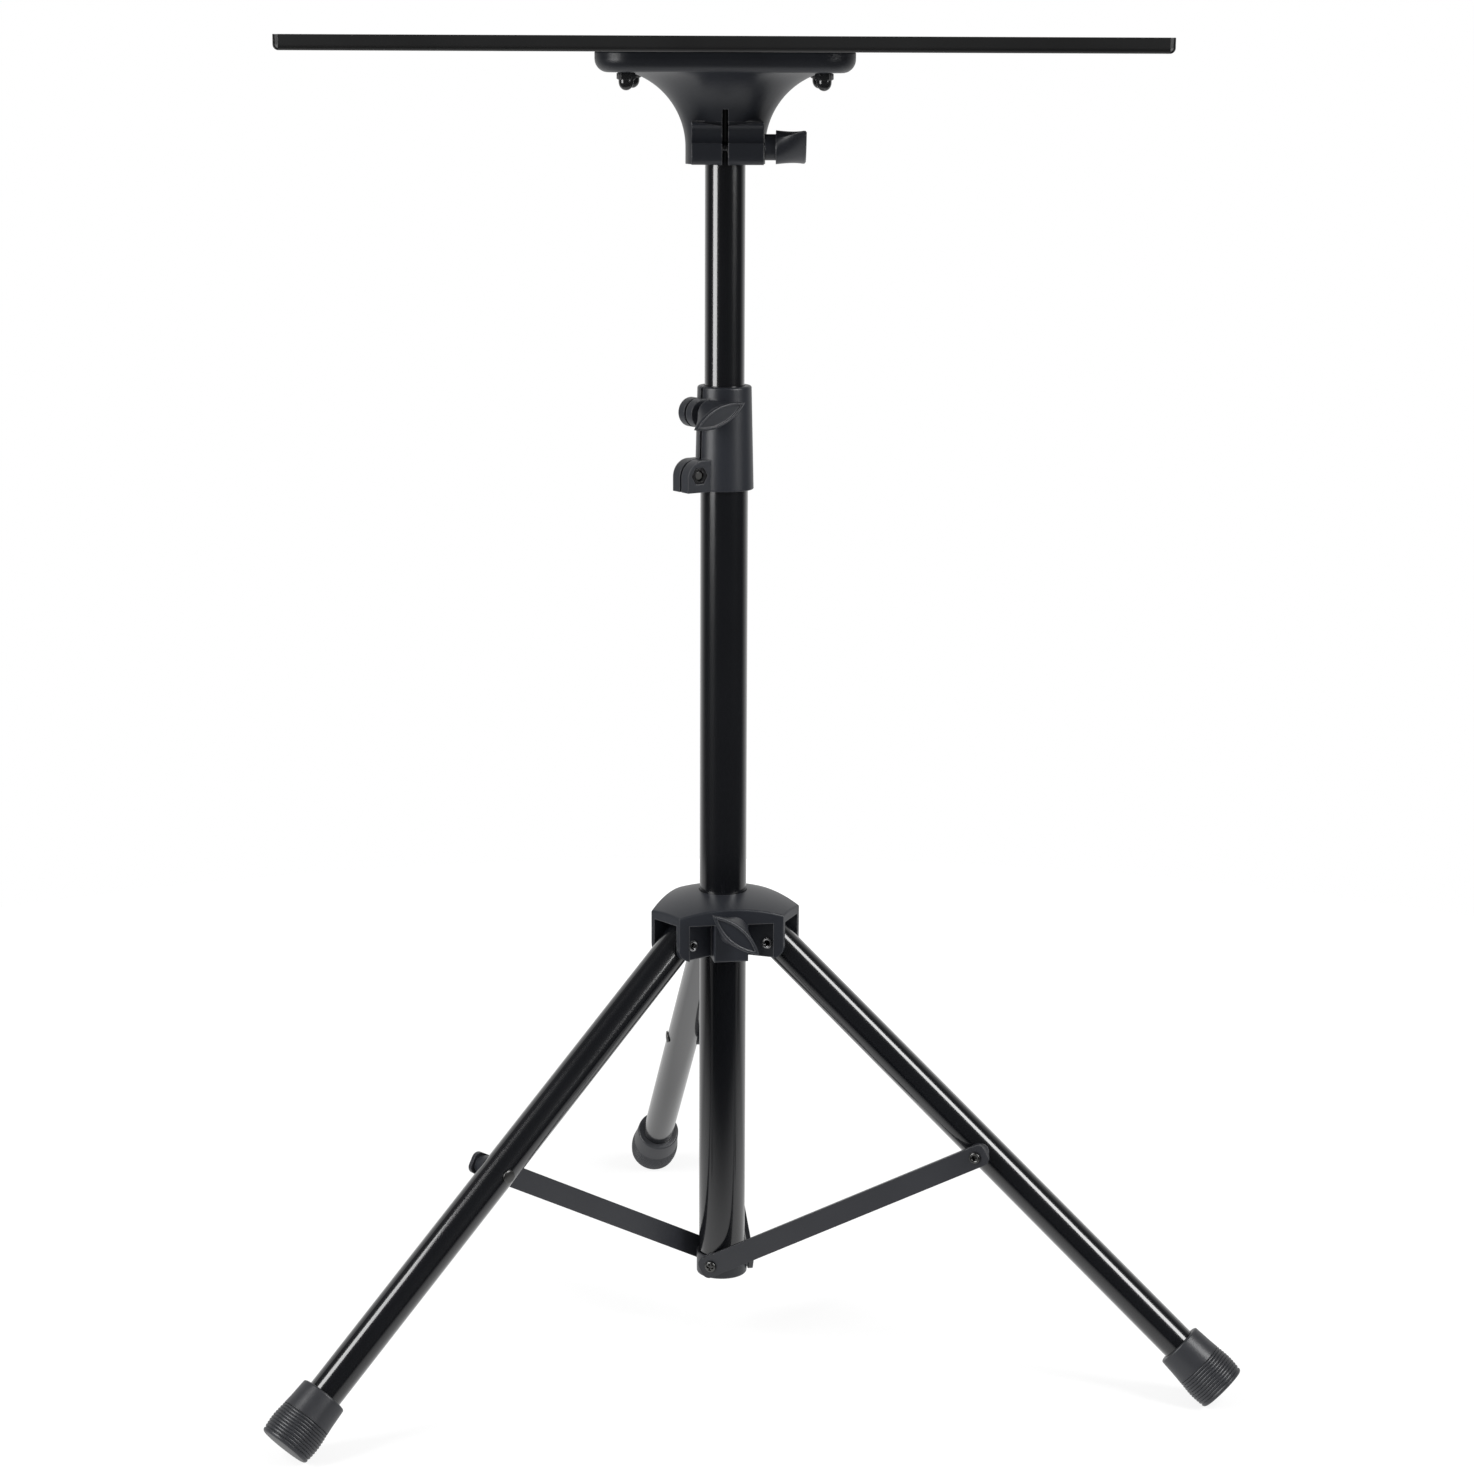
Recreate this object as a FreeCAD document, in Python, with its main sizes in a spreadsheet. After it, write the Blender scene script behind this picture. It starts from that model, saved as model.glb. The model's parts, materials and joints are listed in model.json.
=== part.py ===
"""Folding tripod stand with a swivelling laptop tray, built as a parametric document.

All lengths are millimetres and all angles degrees.  +Z is up, +Y runs away from the
viewer, and the origin lies on the floor under the axis of the pole.
"""
import FreeCAD
import Part
import Sketcher

import math
import os
import re

from FreeCAD import Placement, Rotation, Vector

# Driving dimensions: alias, value, what it is
SIZES = (
    ("leg_tilt", 48.9, "angle of an open leg from the pole"),
    ("tripod_turn", 9.18, "turn of the tripod about the pole"),
    ("leg_reach", 399.8, "leg pivot to the end of the foot"),
    ("leg_pivot_radius", 36.0, "pole axis to a leg pivot"),
    ("brace_reach", 189.0, "leg pivot to the brace rivet, along the leg"),
    ("brace_anchor_drop", 221.7, "leg pivots down to the brace anchors"),
    ("brace_offset", 17.0, "leg plane to the inner face of its brace"),
    ("running_gap", 0.3, "clearance between pieces that move"),
    ("seat_gap", 0.05, "clearance between pieces that are seated"),
    ("lower_tube_diameter", 30.0, "outer diameter of the fixed tube"),
    ("lower_tube_wall", 1.5, "wall of the fixed tube"),
    ("lower_tube_length", 555.0, "length of the fixed tube"),
    ("upper_tube_diameter", 25.0, "outer diameter of the sliding tube"),
    ("upper_tube_wall", 1.2, "wall of the sliding tube"),
    ("upper_tube_length", 600.0, "length of the sliding tube"),
    ("upper_tube_shown", 136.4, "sliding tube between collar and head"),
    ("leg_tube_diameter", 22.0, "outer diameter of a leg"),
    ("leg_tube_wall", 1.2, "wall of a leg"),
    ("leg_overrun", 6.0, "leg tube above its pivot"),
    ("foot_length", 38.7, "rubber foot along the leg"),
    ("foot_top_radius", 15.1, "rubber foot at its upper rim"),
    ("foot_shoulder_radius", 16.3, "rubber foot where its ribs end"),
    ("foot_rim_edge", 1.2, "softened upper rim of a foot"),
    ("foot_belly_radius", 16.9, "rubber foot at its widest"),
    ("foot_rim_radius", 16.5, "rubber foot where it meets the floor"),
    ("foot_edge", 2.0, "rounded edge of the foot's sole"),
    ("foot_sole", 5.0, "rubber below the end of the tube"),
    ("foot_rib_count", 10, "ring grooves on a foot"),
    ("foot_rib_start", 6.5, "lowest ring groove above the sole"),
    ("foot_rib_pitch", 1.8, "step of the ring grooves"),
    ("foot_rib_depth", 1.1, "depth of the ring grooves at the widest part"),
    ("brace_width", 14.0, "width of a brace bar"),
    ("brace_thickness", 3.0, "thickness of a brace bar"),
    ("brace_end_length", 8.0, "brace bar beyond its pivots"),
    ("brace_corner", 4.5, "rounded corners of a brace bar"),
    ("pivot_diameter", 6.0, "pins and rivets of the linkage"),
    ("rivet_head_diameter", 7.4, "heads of the linkage's screws and rivets"),
    ("rivet_head_height", 2.0, "heads of the linkage's screws and rivets"),
    ("spacer_diameter", 13.0, "bushing between leg and brace"),
    ("cap_diameter", 33.0, "cap on the lower end of the pole"),
    ("cap_height", 15.0, "height of that cap"),
    ("cap_floor", 2.0, "closed bottom of that cap"),
    ("cap_edge", 1.5, "rounded lower edge of that cap"),
    ("cap_pivot_height", 10.0, "brace anchors above the cap's bottom"),
    ("cap_pad_diameter", 15.0, "round pads that carry the braces"),
    ("collar_height", 65.0, "height of the clamp collar"),
    ("collar_bottom_diameter", 37.0, "collar at its lower rim"),
    ("collar_top_diameter", 34.0, "collar at its upper rim"),
    ("collar_grip", 37.0, "fixed tube inside the collar"),
    ("collar_turn", 34.0, "turn of the collar's ears"),
    ("collar_slit", 2.2, "slit through the collar"),
    ("collar_top_round", 1.5, "rounded upper rim of the collar"),
    ("collar_edge", 0.8, "softened lower rim and ears of the collar"),
    ("ear_reach", 32.7, "pole axis to the end of the lower ears"),
    ("ear_height", 20.0, "height of the lower ears"),
    ("ear_round", 11.0, "rounded corner of the lower ears"),
    ("ear_width", 17.5, "both lower ears with the slit"),
    ("ear_bolt_reach", 24.2, "pole axis to the lower bolt"),
    ("ear_bolt_height", 10.5, "lower bolt above the collar's bottom"),
    ("boss_reach", 20.3, "pole axis to the upper boss"),
    ("boss_height", 49.0, "upper boss above the collar's bottom"),
    ("boss_diameter", 18.4, "upper boss"),
    ("boss_width", 15.0, "both halves of the upper boss with the slit"),
    ("nut_width", 10.0, "hexagon nuts across flats"),
    ("nut_height", 4.5, "hexagon nuts"),
    ("bolt_head_diameter", 9.5, "head of the collar's bolt"),
    ("hub_reach", 47.0, "pole axis to the short faces of the hub"),
    ("hub_half_width", 14.6, "leg plane to the outer face of a cheek"),
    ("hub_slot_gap", 0.5, "leg to the cheeks beside it"),
    ("hub_cheek_drop", 9.2, "cheeks below the leg pivots"),
    ("hub_cheek_round", 7.0, "rounded lower corner of a cheek"),
    ("hub_roof_height", 14.0, "underside of the roof above the leg pivots"),
    ("hub_crown_height", 29.5, "crown of the roof above the leg pivots"),
    ("hub_dome_radius", 120.0, "sphere of the roof"),
    ("hub_roof_edge", 1.3, "rounded edge of the roof"),
    ("hub_border", 5.7, "flat border at the outer end of each cheek, along the leg"),
    ("hub_sleeve_wall", 4.6, "sleeve around the pole"),
    ("hub_block_width", 22.0, "block behind the hub's knob"),
    ("hub_block_drop", 10.4, "block below the leg pivots"),
    ("hub_block_edge", 1.2, "rounded edges of that block"),
    ("hub_knob_height", 12.1, "axis of the hub's knob above the leg pivots"),
    ("socket_diameter", 49.2, "socket of the head"),
    ("socket_height", 10.0, "straight part of the socket"),
    ("socket_depth", 46.0, "sliding tube inside the head"),
    ("head_height", 67.8, "head from its lower rim to the tray"),
    ("flange_width", 156.0, "square flange under the tray"),
    ("flange_thickness", 12.4, "that flange"),
    ("flange_corner", 24.0, "its corners"),
    ("flange_round", 8.0, "its rounded lower edge"),
    ("flange_edge", 1.0, "softened upper edge of the flange"),
    ("trumpet_top_radius", 60.0, "flare of the head under the flange"),
    ("clamp_left", 20.5, "clamp block left of the slit's middle"),
    ("clamp_right", 23.6, "clamp block right of it"),
    ("clamp_front", 28.0, "clamp block in front of the pole axis"),
    ("clamp_height", 26.0, "clamp block at its sides"),
    ("clamp_dip", 2.8, "its top edge at the slit below its sides"),
    ("clamp_hollow_radius", 7.0, "hollow across the clamp's front, above the bolt"),
    ("clamp_hollow_height", 18.4, "middle of that hollow"),
    ("clamp_hollow_depth", 2.4, "depth of that hollow"),
    ("clamp_foot_round", 5.0, "rounded lower front edge of the clamp block"),
    ("clamp_slit", 3.6, "slit of the clamp"),
    ("clamp_slit_height", 33.5, "that slit"),
    ("clamp_bolt_reach", 20.0, "pole axis to the clamp bolt"),
    ("clamp_bolt_height", 10.7, "clamp bolt above the head's lower rim"),
    ("screw_spacing", 118.0, "square pattern of the tray's screws"),
    ("screw_head_diameter", 11.5, "flush heads of the tray's screws"),
    ("cap_nut_height", 10.5, "rounded nuts under the flange"),
    ("tray_width", 500.0, "tray from side to side"),
    ("tray_depth", 400.0, "tray from front to back"),
    ("tray_lip", 8.8, "turned-up edge of the tray"),
    ("tray_sheet", 1.2, "sheet of the tray"),
    ("tray_bend", 3.2, "outer radius of its bends"),
    ("knob_length", 18.5, "wing knobs along their screws"),
    ("knob_neck_diameter", 8.0, "wing knobs of hub and collar at the seat"),
    ("knob_waist_diameter", 18.4, "those knobs where the wings begin"),
    ("knob_waist_height", 6.5, "seat to where the wings begin"),
    ("head_knob_neck_diameter", 20.5, "wing knob of the head at its spacer"),
    ("knob_leaf_length", 40.0, "leaf-shaped end of the wing knobs, tip to tip"),
    ("knob_leaf_width", 12.5, "leaf-shaped end of the wing knobs across"),
    ("knob_leaf_land", 1.1, "straight edge of that end"),
    ("knob_leaf_edge", 0.8, "softened edge of that end"),
    ("knob_dish_rim", 1.8, "rim around the hollow in that end"),
    ("knob_dish_depth", 0.8, "that hollow"),
    ("head_spacer_length", 7.0, "spacer of the head's knob"),
    ("head_spacer_diameter", 15.8, "spacer of the head's knob"),
    ("collar_knob_turn", 22.0, "rest turn of the collar's knob"),
    ("hub_knob_turn", -42.0, "rest turn of the hub's knob"),
    ("head_knob_turn", -31.0, "rest turn of the head's knob"),
)

ALIASES = {alias for alias, _value, _note in SIZES}
PIECES = []

doc = FreeCAD.newDocument("laptop_stand")
sheet = doc.addObject("Spreadsheet::Sheet", "Sizes")
for row, (alias, number, note) in enumerate(SIZES, start=1):
    sheet.set(f"A{row}", alias)
    sheet.set(f"B{row}", str(number))
    sheet.set(f"C{row}", note)
    sheet.setAlias(f"B{row}", alias)
doc.recompute()


def bind(text):
    """An expression in the sheet's words, written the way the document reads it."""
    return re.sub(r"[a-z_]+", lambda m: f"Sizes.{m[0]}" if m[0] in ALIASES else m[0], str(text))


def value(text):
    """The number that an expression in the sheet's words stands for now."""
    return float(sheet.evalExpression(bind(text)))


class Piece:
    """One sub-part: a body whose sketches and features follow the sheet."""

    def __init__(self, label):
        self.body = doc.addObject("PartDesign::Body", label)
        self.body.Label = label
        self.label = label
        PIECES.append(self)

    # sketches
    def sketch(self, plane, lift="0"):
        """An empty sketch on one of the body's planes, lifted along its normal."""
        made = self.body.newObject("Sketcher::SketchObject", f"{self.label}_sketch")
        support = [f for f in self.body.Origin.OriginFeatures if f.Role == f"{plane}_Plane"][0]
        made.AttachmentSupport = [(support, "")]
        made.MapMode = "FlatFace"
        made.setExpression("AttachmentOffset.Base.z", bind(lift))
        return made

    def pin(self, made, geo, pos, x, y):
        """Hold one point of a sketch at (x, y)."""
        for kind, axis, text in (("DistanceX", -2, x), ("DistanceY", -1, y)):
            number = value(text)
            if str(text) == "0":
                made.addConstraint(Sketcher.Constraint("PointOnObject", geo, pos, axis))
                continue
            index = made.addConstraint(Sketcher.Constraint(kind, -1, 1, geo, pos, number))
            made.setExpression(f"Constraints[{index}]", bind(text))

    def outline(self, plane, corners, lift="0"):
        """A closed outline.

        Each corner is (x, y), or (x, y, radius, turn) if the side that arrives there is an
        arc that turns "left" or "right" on its way.
        """
        made = self.sketch(plane, lift)
        points = [Vector(value(c[0]), value(c[1]), 0) for c in corners]
        ends = []
        for i, corner in enumerate(corners):
            start, end = points[i - 1], points[i]
            if len(corner) == 2:
                made.addGeometry(Part.LineSegment(start, end))
                ends.append((1, 2))
                continue
            radius = value(corner[2])
            chord = end - start
            side = 1 if corner[3] == "left" else -1
            rise = math.sqrt(max(radius ** 2 - (chord.Length / 2) ** 2, 0.0))
            across = Vector(-chord.y, chord.x, 0).normalize() * (side * rise)
            centre = (start + end) / 2 + across
            first, last = (start, end) if side == 1 else (end, start)
            angles = [math.atan2(p.y - centre.y, p.x - centre.x) for p in (first, last)]
            circle = Part.Circle(centre, Vector(0, 0, 1), radius)
            made.addGeometry(Part.ArcOfCircle(circle, *angles))
            ends.append((1, 2) if side == 1 else (2, 1))
        count = len(corners)
        for i in range(count):
            after = (i + 1) % count
            made.addConstraint(Sketcher.Constraint("Coincident", i, ends[i][1], after, ends[after][0]))
        for i, corner in enumerate(corners):
            self.pin(made, i, ends[i][1], corner[0], corner[1])
            if len(corner) == 4:
                index = made.addConstraint(Sketcher.Constraint("Radius", i, value(corner[2])))
                made.setExpression(f"Constraints[{index}]", bind(corner[2]))
        return made

    def circles(self, plane, rounds, lift="0"):
        """Circles, each (x, y, radius)."""
        made = self.sketch(plane, lift)
        for i, (x, y, radius) in enumerate(rounds):
            centre = Vector(value(x), value(y), 0)
            made.addGeometry(Part.Circle(centre, Vector(0, 0, 1), value(radius)))
            if str(x) == "0" and str(y) == "0":
                made.addConstraint(Sketcher.Constraint("Coincident", i, 3, -1, 1))
            else:
                self.pin(made, i, 3, x, y)
            index = made.addConstraint(Sketcher.Constraint("Radius", i, value(radius)))
            made.setExpression(f"Constraints[{index}]", bind(radius))
        return made

    def hexagon(self, plane, x, y, flats, lift="0"):
        """A hexagon across the given flats around (x, y)."""
        reach = f"({flats}) / 2 / cos(30 deg)"
        corners = [(f"{x} + {reach} * cos({a} deg)", f"{y} + {reach} * sin({a} deg)")
                   for a in (0, 60, 120, 180, 240, 300)]
        return self.outline(plane, corners, lift)

    # features
    def _extrude(self, kind, made, length, both, flip):
        feature = self.body.newObject(f"PartDesign::{kind}", f"{self.label}_{kind.lower()}")
        feature.Profile = made
        feature.setExpression("Length", bind(length))
        feature.SideType = "Symmetric" if both else "One side"
        feature.Reversed = flip
        made.Visibility = False
        return feature

    def pad(self, made, length, both=False, flip=False):
        """Raise a sketch to a solid."""
        return self._extrude("Pad", made, length, both, flip)

    def cut(self, made, length, both=False, flip=False):
        """Cut a sketch out of the solid; the volume has to fall."""
        doc.recompute()
        before = self.body.Shape.Volume
        feature = self._extrude("Pocket", made, length, both, flip)
        doc.recompute()
        if not self.body.Shape.Volume < before - 1e-3:
            raise RuntimeError(f"{self.label}: a pocket cuts nothing")
        return feature

    def spin(self, made, kind="Revolution"):
        """Turn a sketch about its vertical axis, as a solid or as a Groove."""
        feature = self.body.newObject(f"PartDesign::{kind}", f"{self.label}_{kind.lower()}")
        feature.Profile = made
        feature.ReferenceAxis = (made, ["V_Axis"])
        feature.Angle = 360
        return feature

    def loft(self, first, others):
        """Run straight from one sketch to the next."""
        feature = self.body.newObject("PartDesign::AdditiveLoft", f"{self.label}_loft")
        feature.Profile = first
        feature.Sections = others
        feature.Ruled = True
        return feature

    def axis(self, role):
        """One of the body's own axes."""
        return [f for f in self.body.Origin.OriginFeatures if f.Role == role][0]

    def around(self, features, count):
        """Repeat features about the vertical axis."""
        doc.recompute()
        feature = self.body.newObject("PartDesign::PolarPattern", f"{self.label}_around")
        feature.Originals = features
        feature.Axis = (self.axis("Z_Axis"), [""])
        feature.Angle = 360
        feature.Occurrences = count
        self.body.Tip = feature
        return feature

    def along(self, features, length, count):
        """Repeat features along the vertical axis."""
        doc.recompute()
        feature = self.body.newObject("PartDesign::LinearPattern", f"{self.label}_along")
        feature.Originals = features
        feature.Direction = (self.axis("Z_Axis"), [""])
        feature.setExpression("Length", bind(length))
        feature.setExpression("Occurrences", bind(count))
        self.body.Tip = feature
        return feature

    def soften(self, wanted, size, kind="Fillet"):
        """Round or chamfer the edges that `wanted` picks."""
        doc.recompute()
        tip = self.body.Tip
        names = [f"Edge{i}" for i, edge in enumerate(tip.Shape.Edges, start=1) if wanted(edge)]
        if not names:
            raise RuntimeError(f"{self.label}: no edge to soften")
        feature = self.body.newObject(f"PartDesign::{kind}", f"{self.label}_{kind.lower()}")
        feature.Base = (tip, names)
        feature.setExpression("Radius" if kind == "Fillet" else "Size", bind(size))
        doc.recompute()
        return feature

    def place(self, base, x_dir, z_dir):
        """Stand the piece in the frame."""
        x_dir = Vector(x_dir)
        z_dir = Vector(z_dir)
        turn = Rotation(x_dir, z_dir.cross(x_dir), z_dir, "ZXY")
        self.body.Placement = Placement(base, turn)


def heading(degrees, lift=0.0):
    """A level direction at an angle from +X, with an optional rise."""
    angle = math.radians(degrees)
    return Vector(math.cos(angle), math.sin(angle), lift)


def on_level(edge, height):
    """Whether an edge lies level at a height of its body."""
    box = edge.BoundBox
    return abs(box.ZMin - height) < 1e-6 and abs(box.ZMax - height) < 1e-6


UP = Vector(0, 0, 1)

# Where things stand, all from the sheet
TILT = math.radians(value("leg_tilt"))
FOOT_DROP = value("foot_rim_radius - foot_edge") * math.sin(TILT) + value("foot_edge") * (1 - math.cos(TILT))
PIVOT_HEIGHT = value("leg_reach") * math.cos(TILT) + FOOT_DROP
ANCHOR_HEIGHT = PIVOT_HEIGHT - value("brace_anchor_drop")
CAP_BOTTOM = ANCHOR_HEIGHT - value("cap_pivot_height")
TUBE_BOTTOM = CAP_BOTTOM + value("cap_floor")
COLLAR_BOTTOM = TUBE_BOTTOM + value("lower_tube_length") - value("collar_grip")
HEAD_BOTTOM = COLLAR_BOTTOM + value("collar_height") + value("upper_tube_shown")
TRAY_BOTTOM = HEAD_BOTTOM + value("head_height")
UPPER_TUBE_BOTTOM = HEAD_BOTTOM + value("socket_depth") - value("upper_tube_length")
TURN = value("tripod_turn")
LEGS = {"rear": 90 + TURN, "left": 210 + TURN, "right": 330 + TURN}
BRACE_RADIUS = value("leg_pivot_radius") + value("brace_reach") * math.sin(TILT)
BRACE_HEIGHT = PIVOT_HEIGHT - value("brace_reach") * math.cos(TILT)
BRACE_SPAN = math.hypot(BRACE_RADIUS, BRACE_HEIGHT - ANCHOR_HEIGHT)
BRACE_TILT = math.atan2(BRACE_RADIUS, BRACE_HEIGHT - ANCHOR_HEIGHT)

# expressions used by several pieces
COS_TILT = "cos(leg_tilt * 1 deg)"
SIN_TILT = "sin(leg_tilt * 1 deg)"
SPAN = (f"sqrt((leg_pivot_radius + brace_reach * {SIN_TILT}) ^ 2"
        f" + (brace_anchor_drop - brace_reach * {COS_TILT}) ^ 2)")


# Pole
def make_tube(label, diameter, wall, length, base):
    """A plain round tube standing on `base`."""
    piece = Piece(label)
    rounds = [("0", "0", f"{diameter} / 2"), ("0", "0", f"{diameter} / 2 - {wall}")]
    piece.pad(piece.circles("XY", rounds), length)
    piece.place(base, Vector(1, 0, 0), UP)
    return piece


def make_base_cap():
    """The cap on the lower end of the pole, with a round pad for each brace."""
    piece = Piece("base_cap")
    piece.pad(piece.circles("XY", [("0", "0", "cap_diameter / 2")]), "cap_height")
    piece.soften(lambda e: on_level(e, 0), "cap_edge")
    pads = piece.pad(
        piece.circles("XZ", [("0", "cap_pivot_height", "cap_pad_diameter / 2")]),
        "brace_offset - seat_gap")
    piece.around([pads], 3)
    hole = piece.cut(
        piece.circles("XZ", [("0", "cap_pivot_height", "pivot_diameter / 2 + seat_gap")]),
        "brace_offset + 1", flip=True)
    piece.around([hole], 3)
    piece.cut(
        piece.circles("XY", [("0", "0", "lower_tube_diameter / 2 + seat_gap")], "cap_floor"),
        "cap_height + cap_diameter", flip=True)
    piece.place(Vector(0, 0, CAP_BOTTOM), heading(LEGS["rear"]), UP)


def make_height_collar():
    """The split collar that grips both tubes, with a boss for its knob and ears for its bolt."""
    piece = Piece("height_collar")
    piece.spin(piece.outline("XZ", [
        ("0", "0"),
        ("collar_bottom_diameter / 2 - collar_edge", "0"),
        ("collar_bottom_diameter / 2", "collar_edge", "collar_edge", "left"),
        ("collar_top_diameter / 2", "collar_height - collar_top_round"),
        ("collar_top_diameter / 2 - collar_top_round", "collar_height", "collar_top_round", "left"),
        ("0", "collar_height")]))
    piece.pad(piece.outline("XZ", [
        ("lower_tube_diameter / 2 + 1", "0"),
        ("ear_reach", "0"),
        ("ear_reach", "ear_height - ear_round"),
        ("ear_reach - ear_round", "ear_height", "ear_round", "left"),
        ("lower_tube_diameter / 2 + 1", "ear_height")]), "ear_width", both=True)
    piece.pad(piece.circles("XZ", [("boss_reach", "boss_height", "boss_diameter / 2")]),
              "boss_width", both=True)
    piece.cut(piece.circles("XY", [("0", "0", "upper_tube_diameter / 2 + running_gap")]),
              "collar_height + 1", flip=True)
    piece.cut(piece.circles("XY", [("0", "0", "lower_tube_diameter / 2 + seat_gap")]),
              "collar_grip + seat_gap", flip=True)
    piece.cut(piece.outline("XZ", [
        ("upper_tube_diameter / 4", "-1"),
        ("ear_reach + 5", "-1"),
        ("ear_reach + 5", "collar_height + 1"),
        ("upper_tube_diameter / 4", "collar_height + 1")]), "collar_slit", both=True)
    piece.cut(piece.circles("XZ", [
        ("boss_reach", "boss_height", "pivot_diameter / 2 + seat_gap"),
        ("ear_bolt_reach", "ear_bolt_height", "pivot_diameter / 2 + seat_gap")]),
        "ear_width + 10", both=True)
    piece.cut(piece.hexagon("XZ", "ear_bolt_reach", "ear_bolt_height", "nut_width + 4 * seat_gap",
                            "nut_height - ear_width / 2"), "ear_width", flip=False)
    piece.place(Vector(0, 0, COLLAR_BOTTOM), heading(180 + value("collar_turn")), UP)


def make_collar_bolt():
    """The bolt that closes the lower ears, and its nut."""
    bolt = Piece("collar_clamp_bolt")
    bolt.pad(bolt.circles("XY", [("0", "0", "pivot_diameter / 2")]), "ear_width - nut_height / 4")
    bolt.pad(bolt.circles("XY", [("0", "0", "bolt_head_diameter / 2")]), "nut_height", flip=True)
    nut = Piece("collar_clamp_nut")
    nut.pad(nut.hexagon("XY", "0", "0", "nut_width"), "nut_height - seat_gap")
    nut.cut(nut.circles("XY", [("0", "0", "pivot_diameter / 2 + seat_gap")]), "nut_height", flip=True)
    ears = heading(180 + value("collar_turn"))
    across = heading(270 + value("collar_turn"))
    middle = ears * value("ear_bolt_reach")
    middle = middle + Vector(0, 0, COLLAR_BOTTOM + value("ear_bolt_height"))
    half = value("ear_width / 2")
    bolt.place(middle - across * (half + value("seat_gap")), ears, across)
    nut.place(middle + across * (half - value("nut_height - seat_gap")), ears, across)


# Head and tray
def make_tray():
    """The tray's sheet: a floor, and the edges turned up along its four sides with open corners."""
    floor = Piece("tray")
    floor.pad(floor.outline("XY", [
        ("-tray_width / 2 + tray_bend", "-tray_depth / 2 + tray_bend"),
        ("tray_width / 2 - tray_bend", "-tray_depth / 2 + tray_bend"),
        ("tray_width / 2 - tray_bend", "tray_depth / 2 - tray_bend"),
        ("-tray_width / 2 + tray_bend", "tray_depth / 2 - tray_bend")]), "tray_sheet")
    floor.cut(floor.circles("XY", screw_rounds("screw_head_diameter / 2 + seat_gap")),
              "tray_sheet", flip=True)
    floor.place(Vector(0, 0, TRAY_BOTTOM), Vector(1, 0, 0), UP)

    edges = Piece("tray_edges")
    for plane, size, other in (("XZ", "tray_width", "tray_depth"), ("YZ", "tray_depth", "tray_width")):
        for way, turn, back in (("-", "left", "right"), ("", "right", "left")):
            bend = f"{way}({size} / 2 - tray_bend)"
            inner = f"{way}({size} / 2 - tray_sheet)"
            edges.pad(edges.outline(plane, [
                (f"{way}{size} / 2", "tray_lip"),
                (f"{way}{size} / 2", "tray_bend"),
                (bend, "0", "tray_bend", turn),
                (bend, "tray_sheet"),
                (inner, "tray_bend", "tray_bend - tray_sheet", back),
                (inner, "tray_lip")]), f"{other} - 2 * tray_bend", both=True)
    edges.place(Vector(0, 0, TRAY_BOTTOM), Vector(1, 0, 0), UP)


def screw_rounds(radius):
    """Circles on the square pattern of the tray's screws."""
    return [(f"{i} * screw_spacing / 2", f"{j} * screw_spacing / 2", radius)
            for i in (-1, 1) for j in (-1, 1)]


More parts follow.
